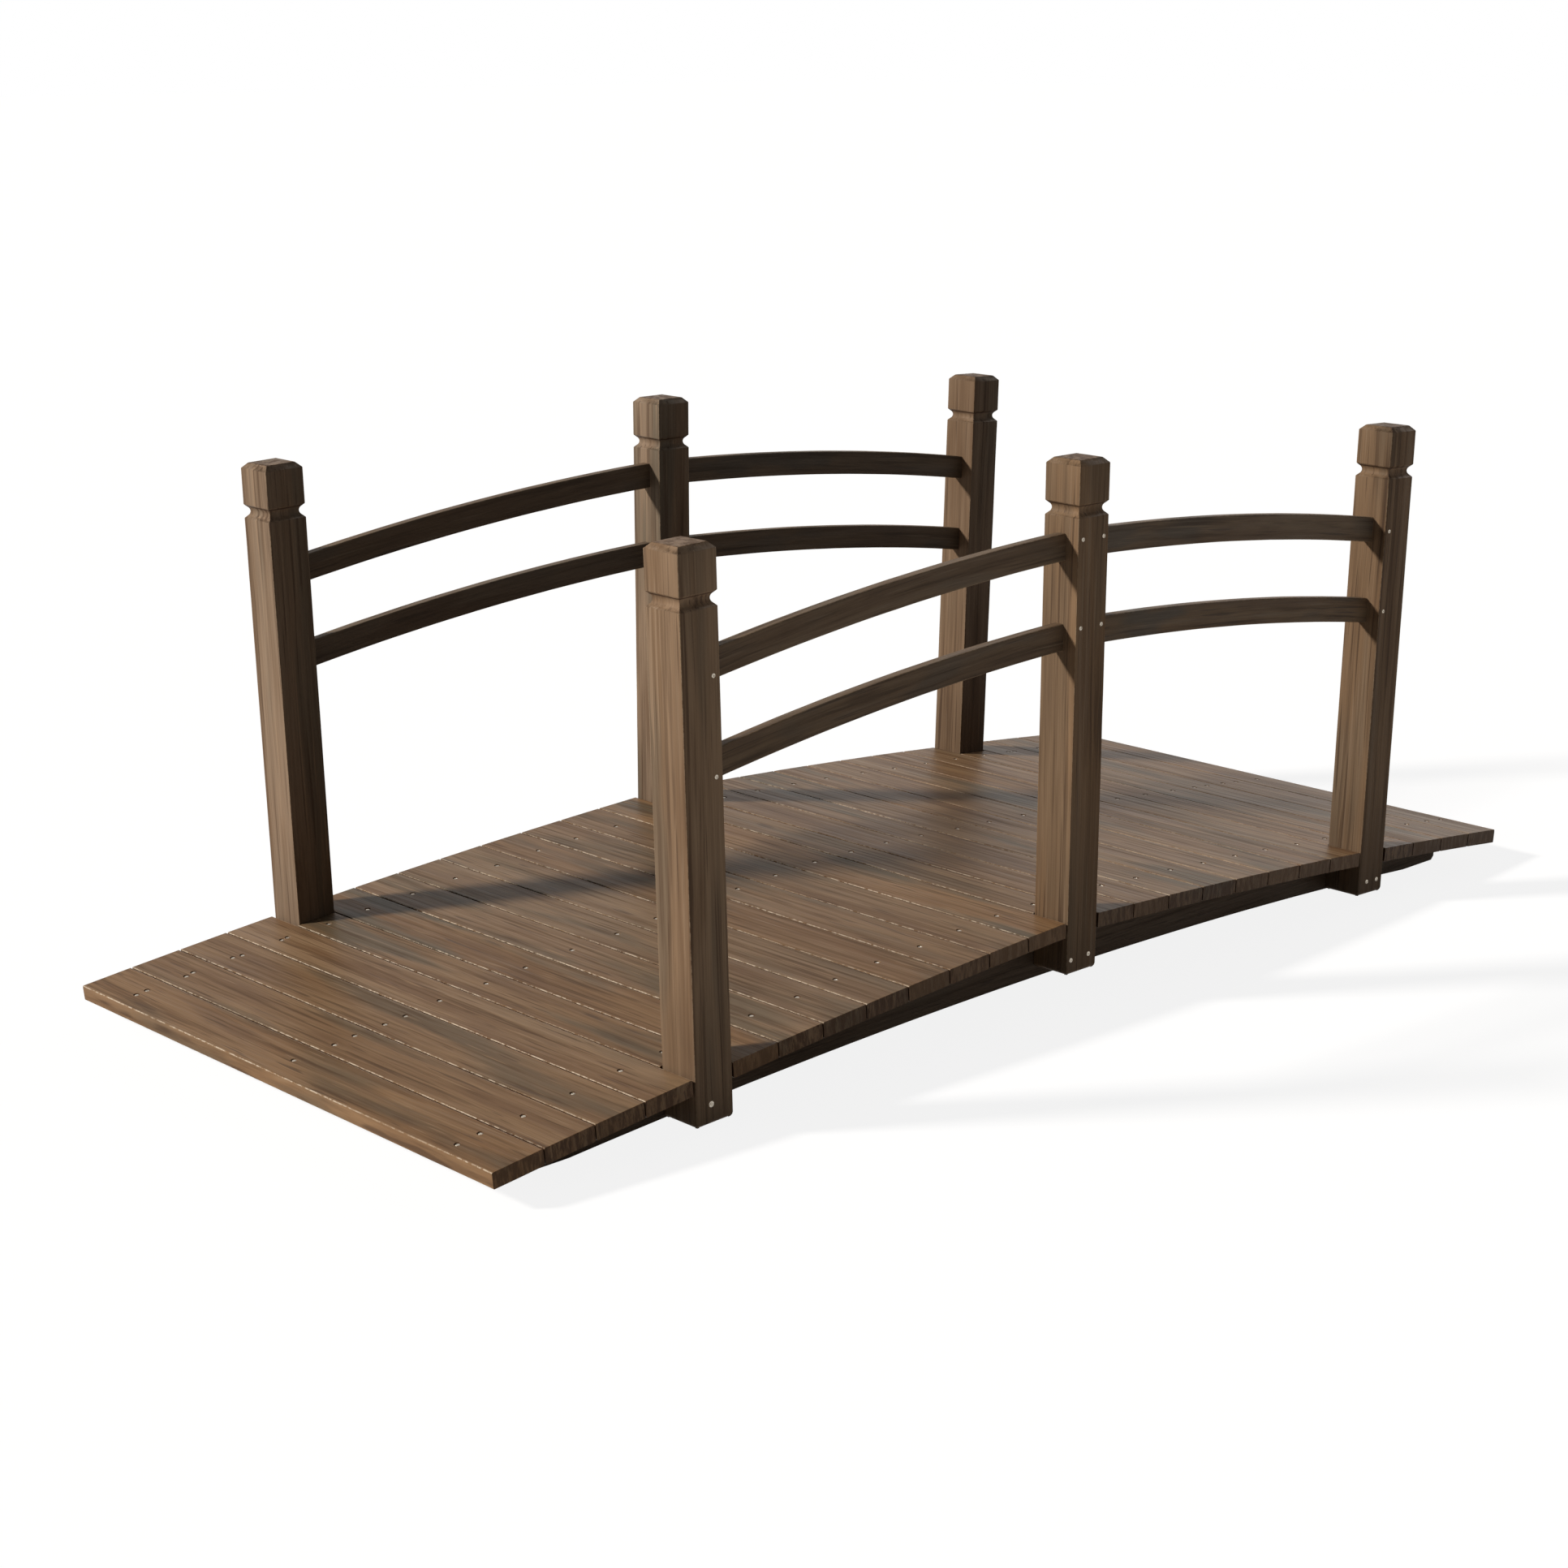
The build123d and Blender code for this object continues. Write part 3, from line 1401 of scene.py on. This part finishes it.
    def screw_places(self, number: int, draw: random.Random) -> list[tuple[Row, float, float]]:
        """List the screws of one board.

        Args:
            number: Number of the board, from the left end.
            draw: Random numbers for how far each screw strays.

        Returns:
            Each screw's row, and its place across and along the board.
        """
        inward = min(number, len(self.runs()) + 1 - number)
        places = []
        for row in Row:
            half = PAIRED_SCREWS[row].get(inward)
            for offset in (0.0,) if half is None else (-half, half):
                stray = [draw.uniform(-1, 1) * self.screw_wander for _ in range(2)]
                places.append((row, offset + stray[0], row.value * self.screw_line + stray[1]))
        return places

    def bore(self, board: Piece, places: Sequence[tuple[Row, float, float]], pose: Matrix) -> None:
        """Countersink a placed board for its screws.

        Args:
            board: The placed board.
            places: The board's screws, in the blank's own place.
            pose: Where the board was placed.
        """
        deselect_all()
        depth, rise = self.countersink_depth, self.cutter_rise
        cutters = []
        for _, across, along in places:
            bpy.ops.mesh.primitive_cone_add(
                vertices=self.cutter_sides,
                radius1=self.head.diameter / 2 + self.head_clearance,
                radius2=self.countersink / 2 + self.cutter_flare,
                depth=depth + rise,
                location=(across, along, self.board_thickness + (rise - depth) / 2),
            )
            cutters.append(bpy.context.object)
        for cutter in cutters:
            cutter.select_set(True)
        bpy.ops.object.join()
        cutter = bpy.context.object
        bpy.ops.object.transform_apply(location=True, rotation=True, scale=True)
        settle(cutter, pose)
        apply_modifier(board, "BOOLEAN", object=cutter, operation="DIFFERENCE", solver="EXACT")
        scrap(cutter)

    def build(self, wood: Finish, steel: Finish) -> None:
        """Lay, bore, dress and screw down every board.

        Args:
            wood: The boards' finish.
            steel: The screws' finish.
        """
        long_board = self.blank(self.board_width, self.width)
        short_length = self.width - 2 * (self.post_size + self.short_end_gap)
        short_board = self.blank(self.short_width, short_length)
        head = self.head.pattern("deck_screw_head")
        tones = Tones(seed=11, light=0.10, grey=0.35)
        draw = random.Random(self.screw_seed)
        surface = SawnSurface()
        rows: dict[Row, list[Matrix]] = {row: [] for row in Row}
        top, depth = self.board_thickness, self.countersink_depth
        for number, (run, width, side) in enumerate(self.runs(), start=1):
            short = width == self.short_width
            length = short_length if short else self.width
            pattern = short_board if short else long_board
            pose = self.pose(run, side)
            board = cut_timber(pattern, f"board_{number:02d}", pose, surface)
            places = self.screw_places(number, draw)
            self.bore(board, places, pose)
            for row, across, along in places:
                seat = Vector((across, along, top - depth * self.head_sunk))
                rows[row].append(pose @ Matrix.Translation(seat))
            light, grey, ruddy = tones.next()
            lightness, rubbed = self.look_of(number)
            outer = {1: -1, len(self.runs()): 1}.get(number, 0)
            dress(
                board,
                StraightGrain(
                    origin=pose @ Vector((0, 0, top / 2)),
                    across=pose.to_3x3() @ Vector((1, 0, 0)),
                    along=Vector((0, 1, 0)),
                    half=(width / 2, length / 2, top / 2),
                ),
                wood,
                (light * lightness, grey, ruddy),
                self.first_key + number,
                bores=[pose @ Vector((*place, top - depth / 2)) for _, *place in places],
                sheltered=lambda place, outer=outer: place.x * outer <= 0,
                rubbed=rubbed,
            )
            stand_for(board, DECK_WOOD.slot, f"deck_board_{number:02d}")
        for row, seats in rows.items():
            drive(head, f"{row.name.lower()}_deck_screws", seats, steel)
        for pattern in (long_board, short_board, head):
            scrap(pattern)


# Posts


@dataclass
class Posts:
    """Three posts a side, the end ones leaning outwards, with a turned-down neck under the head."""

    size: float = 0.045
    middle_length: float = 0.5235
    end_length: float = 0.5305
    lean: float = 1.9
    middle_foot: float = 0.035
    end_foot: float = 0.0095
    line: float = 0.3075
    head_height: float = 0.0425
    head_chamfer: float = 0.006
    neck_height: float = 0.0145
    neck_depth: float = 0.005
    neck_bevel: float = 0.0025
    arris: float = 0.0012
    foot_arris: float = 0.0045
    head_arris: float = 0.00072
    shaft_cuts: int = 16
    neck_cuts: int = 8
    hollows: float = 0.0004
    first_key: int = 200
    rail_screw: ScrewHead = ScrewHead(diameter=0.0047, height=0.0010)
    foot_screw: ScrewHead = ScrewHead(diameter=0.0052, height=0.0012)
    left_foot_screw: ScrewHead = ScrewHead(diameter=0.0064, height=0.0013)
    screw_inset: float = 0.0004
    middle_rail_screws: float = 0.0155
    end_rail_screws: float = 0.0145
    middle_screw_heights: tuple[float, float] = (0.481, 0.393)
    left_screw_heights: tuple[float, float] = (0.4225, 0.3315)
    right_screw_heights: tuple[float, float] = (0.426, 0.337)
    middle_foot_screws: tuple[tuple[float, float], ...] = ((-0.016, 0.0505), (0.011, 0.0515))
    left_foot_screws: tuple[tuple[float, float], ...] = ((-0.0045, 0.029),)
    right_foot_screws: tuple[tuple[float, float], ...] = ((-0.006, 0.025), (0.0128, 0.0242))

    def shaft(self, length: float) -> float:
        """Return the height of the shaft's upper edge above the foot of a post of a length."""
        return length - self.head_height - self.neck_height

    def foot(self, station: Station, deck: Deck) -> tuple[float, float]:
        """Find the middle of a post's foot.

        Args:
            station: Which post it is.
            deck: The deck, whose seat the end posts stand beside.

        Returns:
            Its x and z.
        """
        if station is Station.MIDDLE:
            return 0.0, self.middle_foot
        x, z, _ = deck.seat(deck.post_run)
        rise = z + deck.board_thickness / 2 - self.end_foot
        return station.value * (x - rise * math.tan(math.radians(self.lean))), self.end_foot

    def neck_profile(self) -> list[tuple[float, float]]:
        """List the neck's height above the shaft and half width, from the shaft up to the head.

        Returns:
            Each height with its half width.
        """
        half, bevel = self.size / 2, self.neck_bevel
        low, high = bevel, self.neck_height - bevel
        sagitta, chord = self.neck_depth - bevel, high - low
        radius = (chord**2 / 4 + sagitta**2) / (2 * sagitta)
        points = [(bevel, half - bevel)]
        for height in steps(low, high, self.neck_cuts):
            drop = math.sqrt(radius**2 - (height - (low + high) / 2) ** 2) - (radius - sagitta)
            points.append((height, half - bevel - drop))
        return [*points, (high, half - bevel), (self.neck_height, half)]

    def pattern(self, length: float) -> Piece:
        """Model a post of a length, upright on the origin.

        Args:
            length: The post's length.

        Returns:
            The pattern post.
        """
        half, shaft = self.size / 2, self.shaft(length)
        bench = Workbench.block("post_blank", (self.size, self.size, shaft), (0, 0, shaft / 2))
        bench.slice(steps(0, shaft, self.shaft_cuts), Z)
        bench.pick_faces(lambda middle, normal: normal.z > ALIGNED)
        height, width = 0.0, half
        profile = self.neck_profile()
        head_top = self.neck_height + self.head_height
        profile.append((head_top - self.head_chamfer, half))
        profile.append((head_top, half - self.head_chamfer))
        for next_height, next_width in profile:
            bench.extrude((0, 0, next_height - height))
            ratio = next_width / width
            bench.resize((ratio, ratio, 1), (0, 0, shaft + next_height))
            height, width = next_height, next_width
        bench.pick_edges(
            lambda middle, run: runs_along(run, Z)
            and lies_at(middle.x, half)
            and lies_at(middle.y, half)
        )
        bench.soften(self.arris, segments=2)
        bench.pick_edges(lambda middle, run: lies_at(middle.z, 0))
        bench.soften(self.foot_arris, segments=3)
        bench.pick_edges(lambda middle, run: lies_at(middle.z, length))
        bench.soften(self.head_arris, segments=2)
        return bench.finish()

    def pose(self, side: Side, station: Station, deck: Deck) -> Matrix:
        """Work out where a post stands.

        Args:
            side: Its railing.
            station: Its place along the railing.
            deck: The deck.

        Returns:
            The move from the upright pattern.
        """
        x, z = self.foot(station, deck)
        lean = math.radians(self.lean) * station.value
        stand = Matrix.Translation((x, side.value * self.line, z))
        return stand @ Matrix.Rotation(lean, 4, "Y")

    def screw_seats(self, side: Side, station: Station, deck: Deck) -> dict[str, list[Matrix]]:
        """List the screws on a post's outer face.

        Args:
            side: The post's railing.
            station: Its place along the railing.
            deck: The deck.

        Returns:
            Where the rail screws and the foot screws go.
        """
        if station is Station.MIDDLE:
            offsets = (-self.middle_rail_screws, self.middle_rail_screws)
            rails = [(offset, z) for z in self.middle_screw_heights for offset in offsets]
            feet = self.middle_foot_screws
        else:
            left = station is Station.LEFT
            feet = self.left_foot_screws if left else self.right_foot_screws
            slant = math.tan(math.radians(self.lean))
            rails = [
                (station.value * ((z - self.end_foot) * slant - self.end_rail_screws), z)
                for z in (self.left_screw_heights if left else self.right_screw_heights)
            ]
        x = self.foot(station, deck)[0]
        face = side.value * (self.line + self.size / 2 - self.screw_inset)
        turn = Matrix.Rotation(math.radians(-90) * side.value, 4, "X")

        def seat(place: tuple[float, float]) -> Matrix:
            """Turn one place on the outer face into a move."""
            return Matrix.Translation((x + place[0], face, place[1])) @ turn

        return {"rail": [seat(p) for p in rails], "foot": [seat(p) for p in feet]}

    def build(self, deck: Deck, wood: Finish, steel: Finish) -> None:
        """Stand, dress and screw every post.

        Args:
            deck: The deck that the posts stand beside.
            wood: The posts' finish.
            steel: The screws' finish.
        """
        heads = {
            "rail": self.rail_screw.pattern("rail_screw_head"),
            "foot": self.foot_screw.pattern("foot_screw_head"),
            "left_foot": self.left_foot_screw.pattern("left_foot_screw_head"),
        }
        surface = SawnSurface(depth=self.hollows)
        for station in Station:
            length = self.middle_length if station is Station.MIDDLE else self.end_length
            pattern = self.pattern(length)
            for side in Side:
                name = f"{side.name.lower()}_{station.name.lower()}"
                pose = self.pose(side, station, deck)
                post = cut_timber(pattern, f"{name}_post_timber", pose, surface)
                turn = pose.to_3x3()
                grain = StraightGrain(
                    origin=pose @ Vector((0, 0, length / 2)),
                    across=turn @ Vector((1, 0, 0)),
                    along=turn @ Vector((0, 0, 1)),
                    half=(self.size / 2, length / 2, self.size / 2),
                )
                key = self.first_key + side.value * 10 + station.value
                dress(post, grain, wood, POST_TONES[side, station], key, walkway=-side.value)
                stand_for(post, POST_WOOD.slot, f"{name}_post")
                for kind, seats in self.screw_seats(side, station, deck).items():
                    large = kind == "foot" and station is Station.LEFT
                    head = heads["left_foot" if large else kind]
                    drive(head, f"{name}_{kind}_screws", seats, steel)
            scrap(pattern)
        for head in heads.values():
            scrap(head)


# Rails


@dataclass
class Rails:
    """Two arched rails in each of the four bays, housed in the posts."""

    height: float = 0.0275
    thickness: float = 0.012
    radius: float = 3.65
    gap: float = 0.0625
    below_middle_neck: float = 0.0155
    below_end_neck: float = 0.0425
    tenon: float = 0.015
    arris: float = 0.0016
    arc_steps: int = 28
    first_key: int = 301

    def arc(self, level: Level, deck: Deck, posts: Posts) -> tuple[float, float, float, float]:
        """Work out the arc of a right-hand rail.

        Args:
            level: Which rail of the bay it is.
            deck: The deck.
            posts: The posts.

        Returns:
            The x and z of the arc's centre, and the x of the two shoulders.
        """
        drop = level.value * (self.height + self.gap)
        x1 = posts.size / 2
        z1 = posts.middle_foot + posts.shaft(posts.middle_length) - self.below_middle_neck - drop
        z2 = posts.end_foot + posts.shaft(posts.end_length) - self.below_end_neck - drop
        lean = math.radians(posts.lean)
        foot_x, foot_z = posts.foot(Station.RIGHT, deck)
        x2 = foot_x + (z2 - foot_z) * math.tan(lean) - posts.size / 2 / math.cos(lean)
        chord = math.hypot(x2 - x1, z2 - z1)
        reach = math.sqrt(self.radius**2 - chord**2 / 4)
        centre_x = (x1 + x2) / 2 + reach * (z2 - z1) / chord
        centre_z = (z1 + z2) / 2 - reach * (x2 - x1) / chord
        return centre_x, centre_z, x1, x2

    def pattern(self, level: Level, deck: Deck, posts: Posts) -> tuple[Piece, ArchedGrain]:
        """Model the right-hand rail of a level on the middle plane.

        Args:
            level: Which rail of the bay it is.
            deck: The deck.
            posts: The posts.

        Returns:
            The pattern rail and its grain.
        """
        centre_x, centre_z, x1, x2 = self.arc(level, deck, posts)
        first = math.asin((x1 - self.tenon - centre_x) / self.radius)
        last = math.asin((x2 + self.tenon - centre_x) / self.radius)
        middle = self.radius - self.height / 2
        start = (centre_x + middle * math.sin(first), 0, centre_z + middle * math.cos(first))
        section = (self.height, self.thickness)
        name, turn = f"{level.name.lower()}_rail_blank", math.radians(90) + first
        bench = Workbench.sheet(name, section, start, turn)
        bpy.ops.mesh.select_all(action="SELECT")
        bpy.ops.mesh.spin(
            steps=self.arc_steps,
            dupli=False,
            angle=first - last,
            center=(centre_x, 0, centre_z),
            axis=(0, 1, 0),
        )
        bpy.ops.mesh.select_all(action="SELECT")
        bpy.ops.mesh.remove_doubles(threshold=HAIR / 10)
        bpy.ops.mesh.normals_make_consistent(inside=False)
        half = self.thickness / 2
        bench.pick_edges(lambda middle, run: runs_along(run, X) and lies_at(middle.y, half))
        bench.soften(self.arris, segments=3)
        rail = bench.finish()
        sizes = (self.height / 2, (last - first) * middle / 2, self.thickness / 2)
        return rail, ArchedGrain(Vector((centre_x, 0, centre_z)), middle, (first + last) / 2, sizes)

    def build(self, deck: Deck, posts: Posts, wood: Finish) -> None:
        """Fit and dress every rail.

        Args:
            deck: The deck.
            posts: The posts that house the rails.
            wood: The rails' finish.
        """
        tones = Tones(seed=37, light=0.06, grey=0.3)
        surface = SawnSurface()
        keys = itertools.count(self.first_key)
        for level in Level:
            pattern, grain = self.pattern(level, deck, posts)
            for side in Side:
                for bay in (Station.LEFT, Station.RIGHT):
                    name = f"{side.name.lower()}_{bay.name.lower()}_{level.name.lower()}_rail"
                    turn = math.pi if bay is Station.LEFT else 0.0
                    place = Matrix.Translation((0, side.value * posts.line, 0))
                    pose = place @ Matrix.Rotation(turn, 4, "Z")
                    rail = cut_timber(pattern, f"{name}_timber", pose, surface)
                    centre, middle = pose @ grain.centre, grain.middle * bay.value
                    laid = replace(grain, centre=centre, middle=middle)
                    dress(rail, laid, wood, tones.next(), next(keys), walkway=-side.value)
                    stand_for(rail, RAIL_WOOD.slot, name)
            scrap(pattern)


# Stringers


@dataclass
class Stringers:
    """Three beams under the deck, hollowed below and standing on a flat foot at each end."""

    thickness: float = 0.040
    line: float = 0.265
    setback: float = 0.057
    foot: float = 0.062
    arch: float = 0.022
    toe: float = 0.004
    arris: float = 0.0012
    arc_steps: int = 14
    halvings: int = 40
    first_key: int = 400

    def sections(self, deck: Deck) -> list[tuple[float, float, float]]:
        """List the beam's sections from the left: x, and the height of its lower and upper edge.

        Args:
            deck: The deck that the beams carry.

        Returns:
            The sections.
        """
        deck_run = deck.post_run + deck.crown_half + deck.past_posts * deck.pitch
        tip = deck.seat(deck_run)[0] - self.setback
        heel = tip - self.foot
        radius = (heel**2 + self.arch**2) / (2 * self.arch)

        def lower(x: float) -> float:
            """Return the height of the lower edge."""
            return math.sqrt(radius**2 - x**2) - (radius - self.arch) if x < heel else 0.0

        def upper(x: float) -> float:
            """Find the height of the seat line at a place.

            Args:
                x: Distance from the middle.

            Returns:
                The height.
            """
            low, high = 0.0, deck_run
            for _ in range(self.halvings):
                run = (low + high) / 2
                low, high = (run, high) if deck.seat(run)[0] < x else (low, run)
            return deck.seat(low)[1]

        corner = tip - self.toe
        half = [(tip, self.toe, upper(tip)), (corner, 0.0, upper(corner)), (heel, 0.0, upper(heel))]
        arc = reversed(steps(deck.crown_half, heel, self.arc_steps))
        half += [(x, lower(x), upper(x)) for x in arc]
        half.append((deck.crown_half, lower(deck.crown_half), upper(0.0)))
        left = [(-x, low, high) for x, low, high in half]
        return [*left, (0.0, self.arch, upper(0.0)), *reversed(half)]

    def pattern(self, deck: Deck) -> Piece:
        """Model one beam on the middle line.

        Args:
            deck: The deck that the beams carry.

        Returns:
            The pattern beam.
        """
        sections = self.sections(deck)
        (x0, low0, high0), (x1, low1, high1) = sections[0], sections[1]
        size = (x1 - x0, self.thickness, high0 - low0)
        bench = Workbench.block("stringer_blank", size, ((x0 + x1) / 2, 0, (low0 + high0) / 2))
        bench.pick_faces(lambda middle, normal: normal.x > ALIGNED)
        middle, depth = (low0 + high0) / 2, high0 - low0
        x = x1
        for next_x, low, high in sections[1:]:
            next_middle = (low + high) / 2
            if next_x > x:
                bench.extrude((next_x - x, 0, next_middle - middle))
            else:
                bpy.ops.transform.translate(value=(0, 0, next_middle - middle))
            bench.resize((1, 1, (high - low) / depth), (next_x, 0, next_middle))
            x, middle, depth = next_x, next_middle, high - low
        half = self.thickness / 2
        bench.pick_edges(lambda middle, run: not runs_along(run, Z) and lies_at(middle.y, half))
        bench.soften(self.arris, segments=2)
        return bench.finish()

    def build(self, deck: Deck, wood: Finish) -> None:
        """Set and dress every beam.

        Args:
            deck: The deck that the beams carry.
            wood: The beams' finish.
        """
        pattern = self.pattern(deck)
        tones = Tones(seed=41, light=0.05, grey=0.3)
        surface = SawnSurface()
        length = self.sections(deck)[-1][0]
        for key, row in enumerate(Row, start=self.first_key):
            name, place = row.name.lower(), Vector((0, row.value * self.line, 0))
            beam = cut_timber(pattern, f"{name}_beam", Matrix.Translation(place), surface)
            grain = StraightGrain(
                origin=place + Vector((0, 0, deck.crest / 2)),
                across=Vector((0, 0, 1)),
                along=Vector((1, 0, 0)),
                half=(deck.crest, length, self.thickness / 2),
            )
            dress(beam, grain, wood, tones.next(), key)
            stand_for(beam, STRINGER_WOOD.slot, f"{name}_stringer")
        scrap(pattern)


# Studio


@dataclass
class Studio:
    """Pale floor, white background, a soft key lamp, a weak side lamp and the camera."""

    camera_place: Triple = (-2.11602, -2.10206, 0.97327)
    camera_yaw: float = 43.776
    camera_pitch: float = -15.1204
    camera_roll: float = 0.0597
    focal_pixels: float = 3508.1
    frame_pixels: float = 1932.0
    sensor: float = 36.0
    key_toward: Triple = (-0.83, 0.56, 0.60)
    key_strength: float = 3.5
    key_softness: float = 7.0
    key_colour: Colour = (1.0, 0.95, 0.89)
    side_toward: Triple = (1.0, 0.12, 0.25)
    side_strength: float = 0.45
    side_softness: float = 50.0
    fill: float = 0.03
    fill_colour: Colour = (0.90, 0.97, 1.05)
    floor_size: float = 60.0
    floor_drop: float = 0.0004
    floor_colour: float = 0.73
    floor_shown: float = 0.305
    floor_glow: float = 0.87
    # Painted shadow under the bridge on the floor that the camera sees: its glow, reach and blur
    shade_glow: float = 0.03
    shade_reach: tuple[float, float] = (0.66, 0.24)
    shade_blur: float = 0.10

    def set_camera(self) -> None:
        """Set the camera at the photograph's view angle."""
        yaw, pitch = math.radians(self.camera_yaw), math.radians(self.camera_pitch)
        level = math.cos(pitch)
        ahead = Vector((math.sin(yaw) * level, math.cos(yaw) * level, math.sin(pitch)))
        right = Vector((math.cos(yaw), -math.sin(yaw), 0))
        turn = Matrix((right, right.cross(ahead), -ahead)).transposed().to_4x4()
        roll = Matrix.Rotation(math.radians(self.camera_roll), 4, "Z")
        lens = bpy.data.cameras.new("camera")
        lens.sensor_width = self.sensor
        lens.lens = self.focal_pixels / self.frame_pixels * self.sensor
        camera = bpy.data.objects.new("camera", lens)
        camera.matrix_world = Matrix.Translation(self.camera_place) @ turn @ roll
        bpy.context.scene.collection.objects.link(camera)
        bpy.context.scene.camera = camera

    def hang_lamp(self, name: str, toward: Triple, strength: float, softness: float) -> None:
        """Hang a far lamp.

        Args:
            name: Name of the lamp.
            toward: Direction from the bridge to the lamp.
            strength: Its strength.
            softness: How wide it looks from the bridge, in degrees.
        """
        lamp = bpy.data.lights.new(name, "SUN")
        lamp.energy = strength
        lamp.angle = math.radians(softness)
        lamp.color = self.key_colour
        hung = bpy.data.objects.new(name, lamp)
        hung.rotation_euler = Vector(toward).to_track_quat("Z", "Y").to_euler()
        bpy.context.scene.collection.objects.link(hung)

    def seen_directly(self, bench: ShaderBench) -> Socket:
        """Tell the rays that show the background from the rays that only light the object.

        Args:
            bench: The shader that is built.

        Returns:
            The value 1 for a ray that shows it, and 0 for one that only lights.
        """
        path = bench.add("ShaderNodeLightPath", {}, {}).outputs
        shown = bench.math("MAXIMUM", path["Is Camera Ray"], path["Is Glossy Ray"])
        return bench.math("MAXIMUM", shown, path["Is Transmission Ray"])

    def light_world(self) -> None:
        """Light from all round, and show white where the background is seen."""
        world = bpy.context.scene.world or bpy.data.worlds.new("studio")
        bpy.context.scene.world = world
        bench = ShaderBench(world)
        tint = (*self.fill_colour, 1)
        fill = bench.add("ShaderNodeBackground", {}, {"Color": tint, "Strength": self.fill})
        white = bench.add("ShaderNodeBackground", {}, {"Color": (1, 1, 1, 1), "Strength": 1.0})
        shown = self.seen_directly(bench)
        layers = {0: shown, 1: fill.outputs[0], 2: white.outputs[0]}
        bench.close(bench.add("ShaderNodeMixShader", {}, layers).outputs[0])

    def lay_floor(self) -> None:
        """Lay the pale floor, white where seen, with the bridge's shadow and a painted shadow under
        it.
        """
        deselect_all()
        bpy.ops.mesh.primitive_plane_add(size=self.floor_size, location=(0, 0, -self.floor_drop))
        floor = bpy.context.object
        floor.name = "studio_floor"
        bench = ShaderBench.named("pale_floor")
        grey = (self.floor_colour,) * 3
        matt = bench.add("ShaderNodeBsdfDiffuse", {}, {"Color": (*grey, 1)}).outputs[0]
        faint = (self.floor_colour * self.floor_shown,) * 3
        veil = bench.add("ShaderNodeBsdfDiffuse", {}, {"Color": (*faint, 1)}).outputs[0]
        # Painted shadow: the floor that the camera sees glows less under the bridge
        place = bench.vector("ABSOLUTE", bench.add("ShaderNodeTexCoord", {}, {}).outputs["Object"])
        under = [
            bench.span(bench.part(place, axis), Ramp(reach, reach - self.shade_blur))
            for axis, reach in zip("XY", self.shade_reach)
        ]
        dimming = Ramp(0.0, 1.0, self.floor_glow, self.shade_glow)
        white = {"Color": (1, 1, 1, 1), "Strength": bench.span(bench.product(*under), dimming)}
        glow = bench.add("ShaderNodeEmission", {}, white).outputs[0]
        lit = bench.add("ShaderNodeAddShader", {}, {0: veil, 1: glow}).outputs[0]
        shown = self.seen_directly(bench)
        mix = bench.add("ShaderNodeMixShader", {}, {0: shown, 1: matt, 2: lit}).outputs[0]
        floor.data.materials.append(bench.close(mix))

    def build(self) -> None:
        """Set the camera, the light and the floor."""
        bpy.context.scene.view_settings.view_transform = "Standard"
        self.set_camera()
        self.hang_lamp("key", self.key_toward, self.key_strength, self.key_softness)
        self.hang_lamp("side", self.side_toward, self.side_strength, self.side_softness)
        self.light_world()
        self.lay_floor()
        log.info("set the studio")


def main() -> None:
    """Build the bridge around its frame, piece by piece."""
    logging.basicConfig(level=logging.INFO, format="%(name)s: %(message)s")
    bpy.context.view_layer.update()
    steel = SCREW_STEEL.material()
    deck, posts = Deck(), Posts()
    Studio().build()
    deck.build(DECK_WOOD.material(), steel)
    posts.build(deck, POST_WOOD.material(), steel)
    Rails().build(deck, posts, RAIL_WOOD.material())
    Stringers().build(deck, STRINGER_WOOD.material())
    deselect_all()


if __name__ == "__main__":
    main()
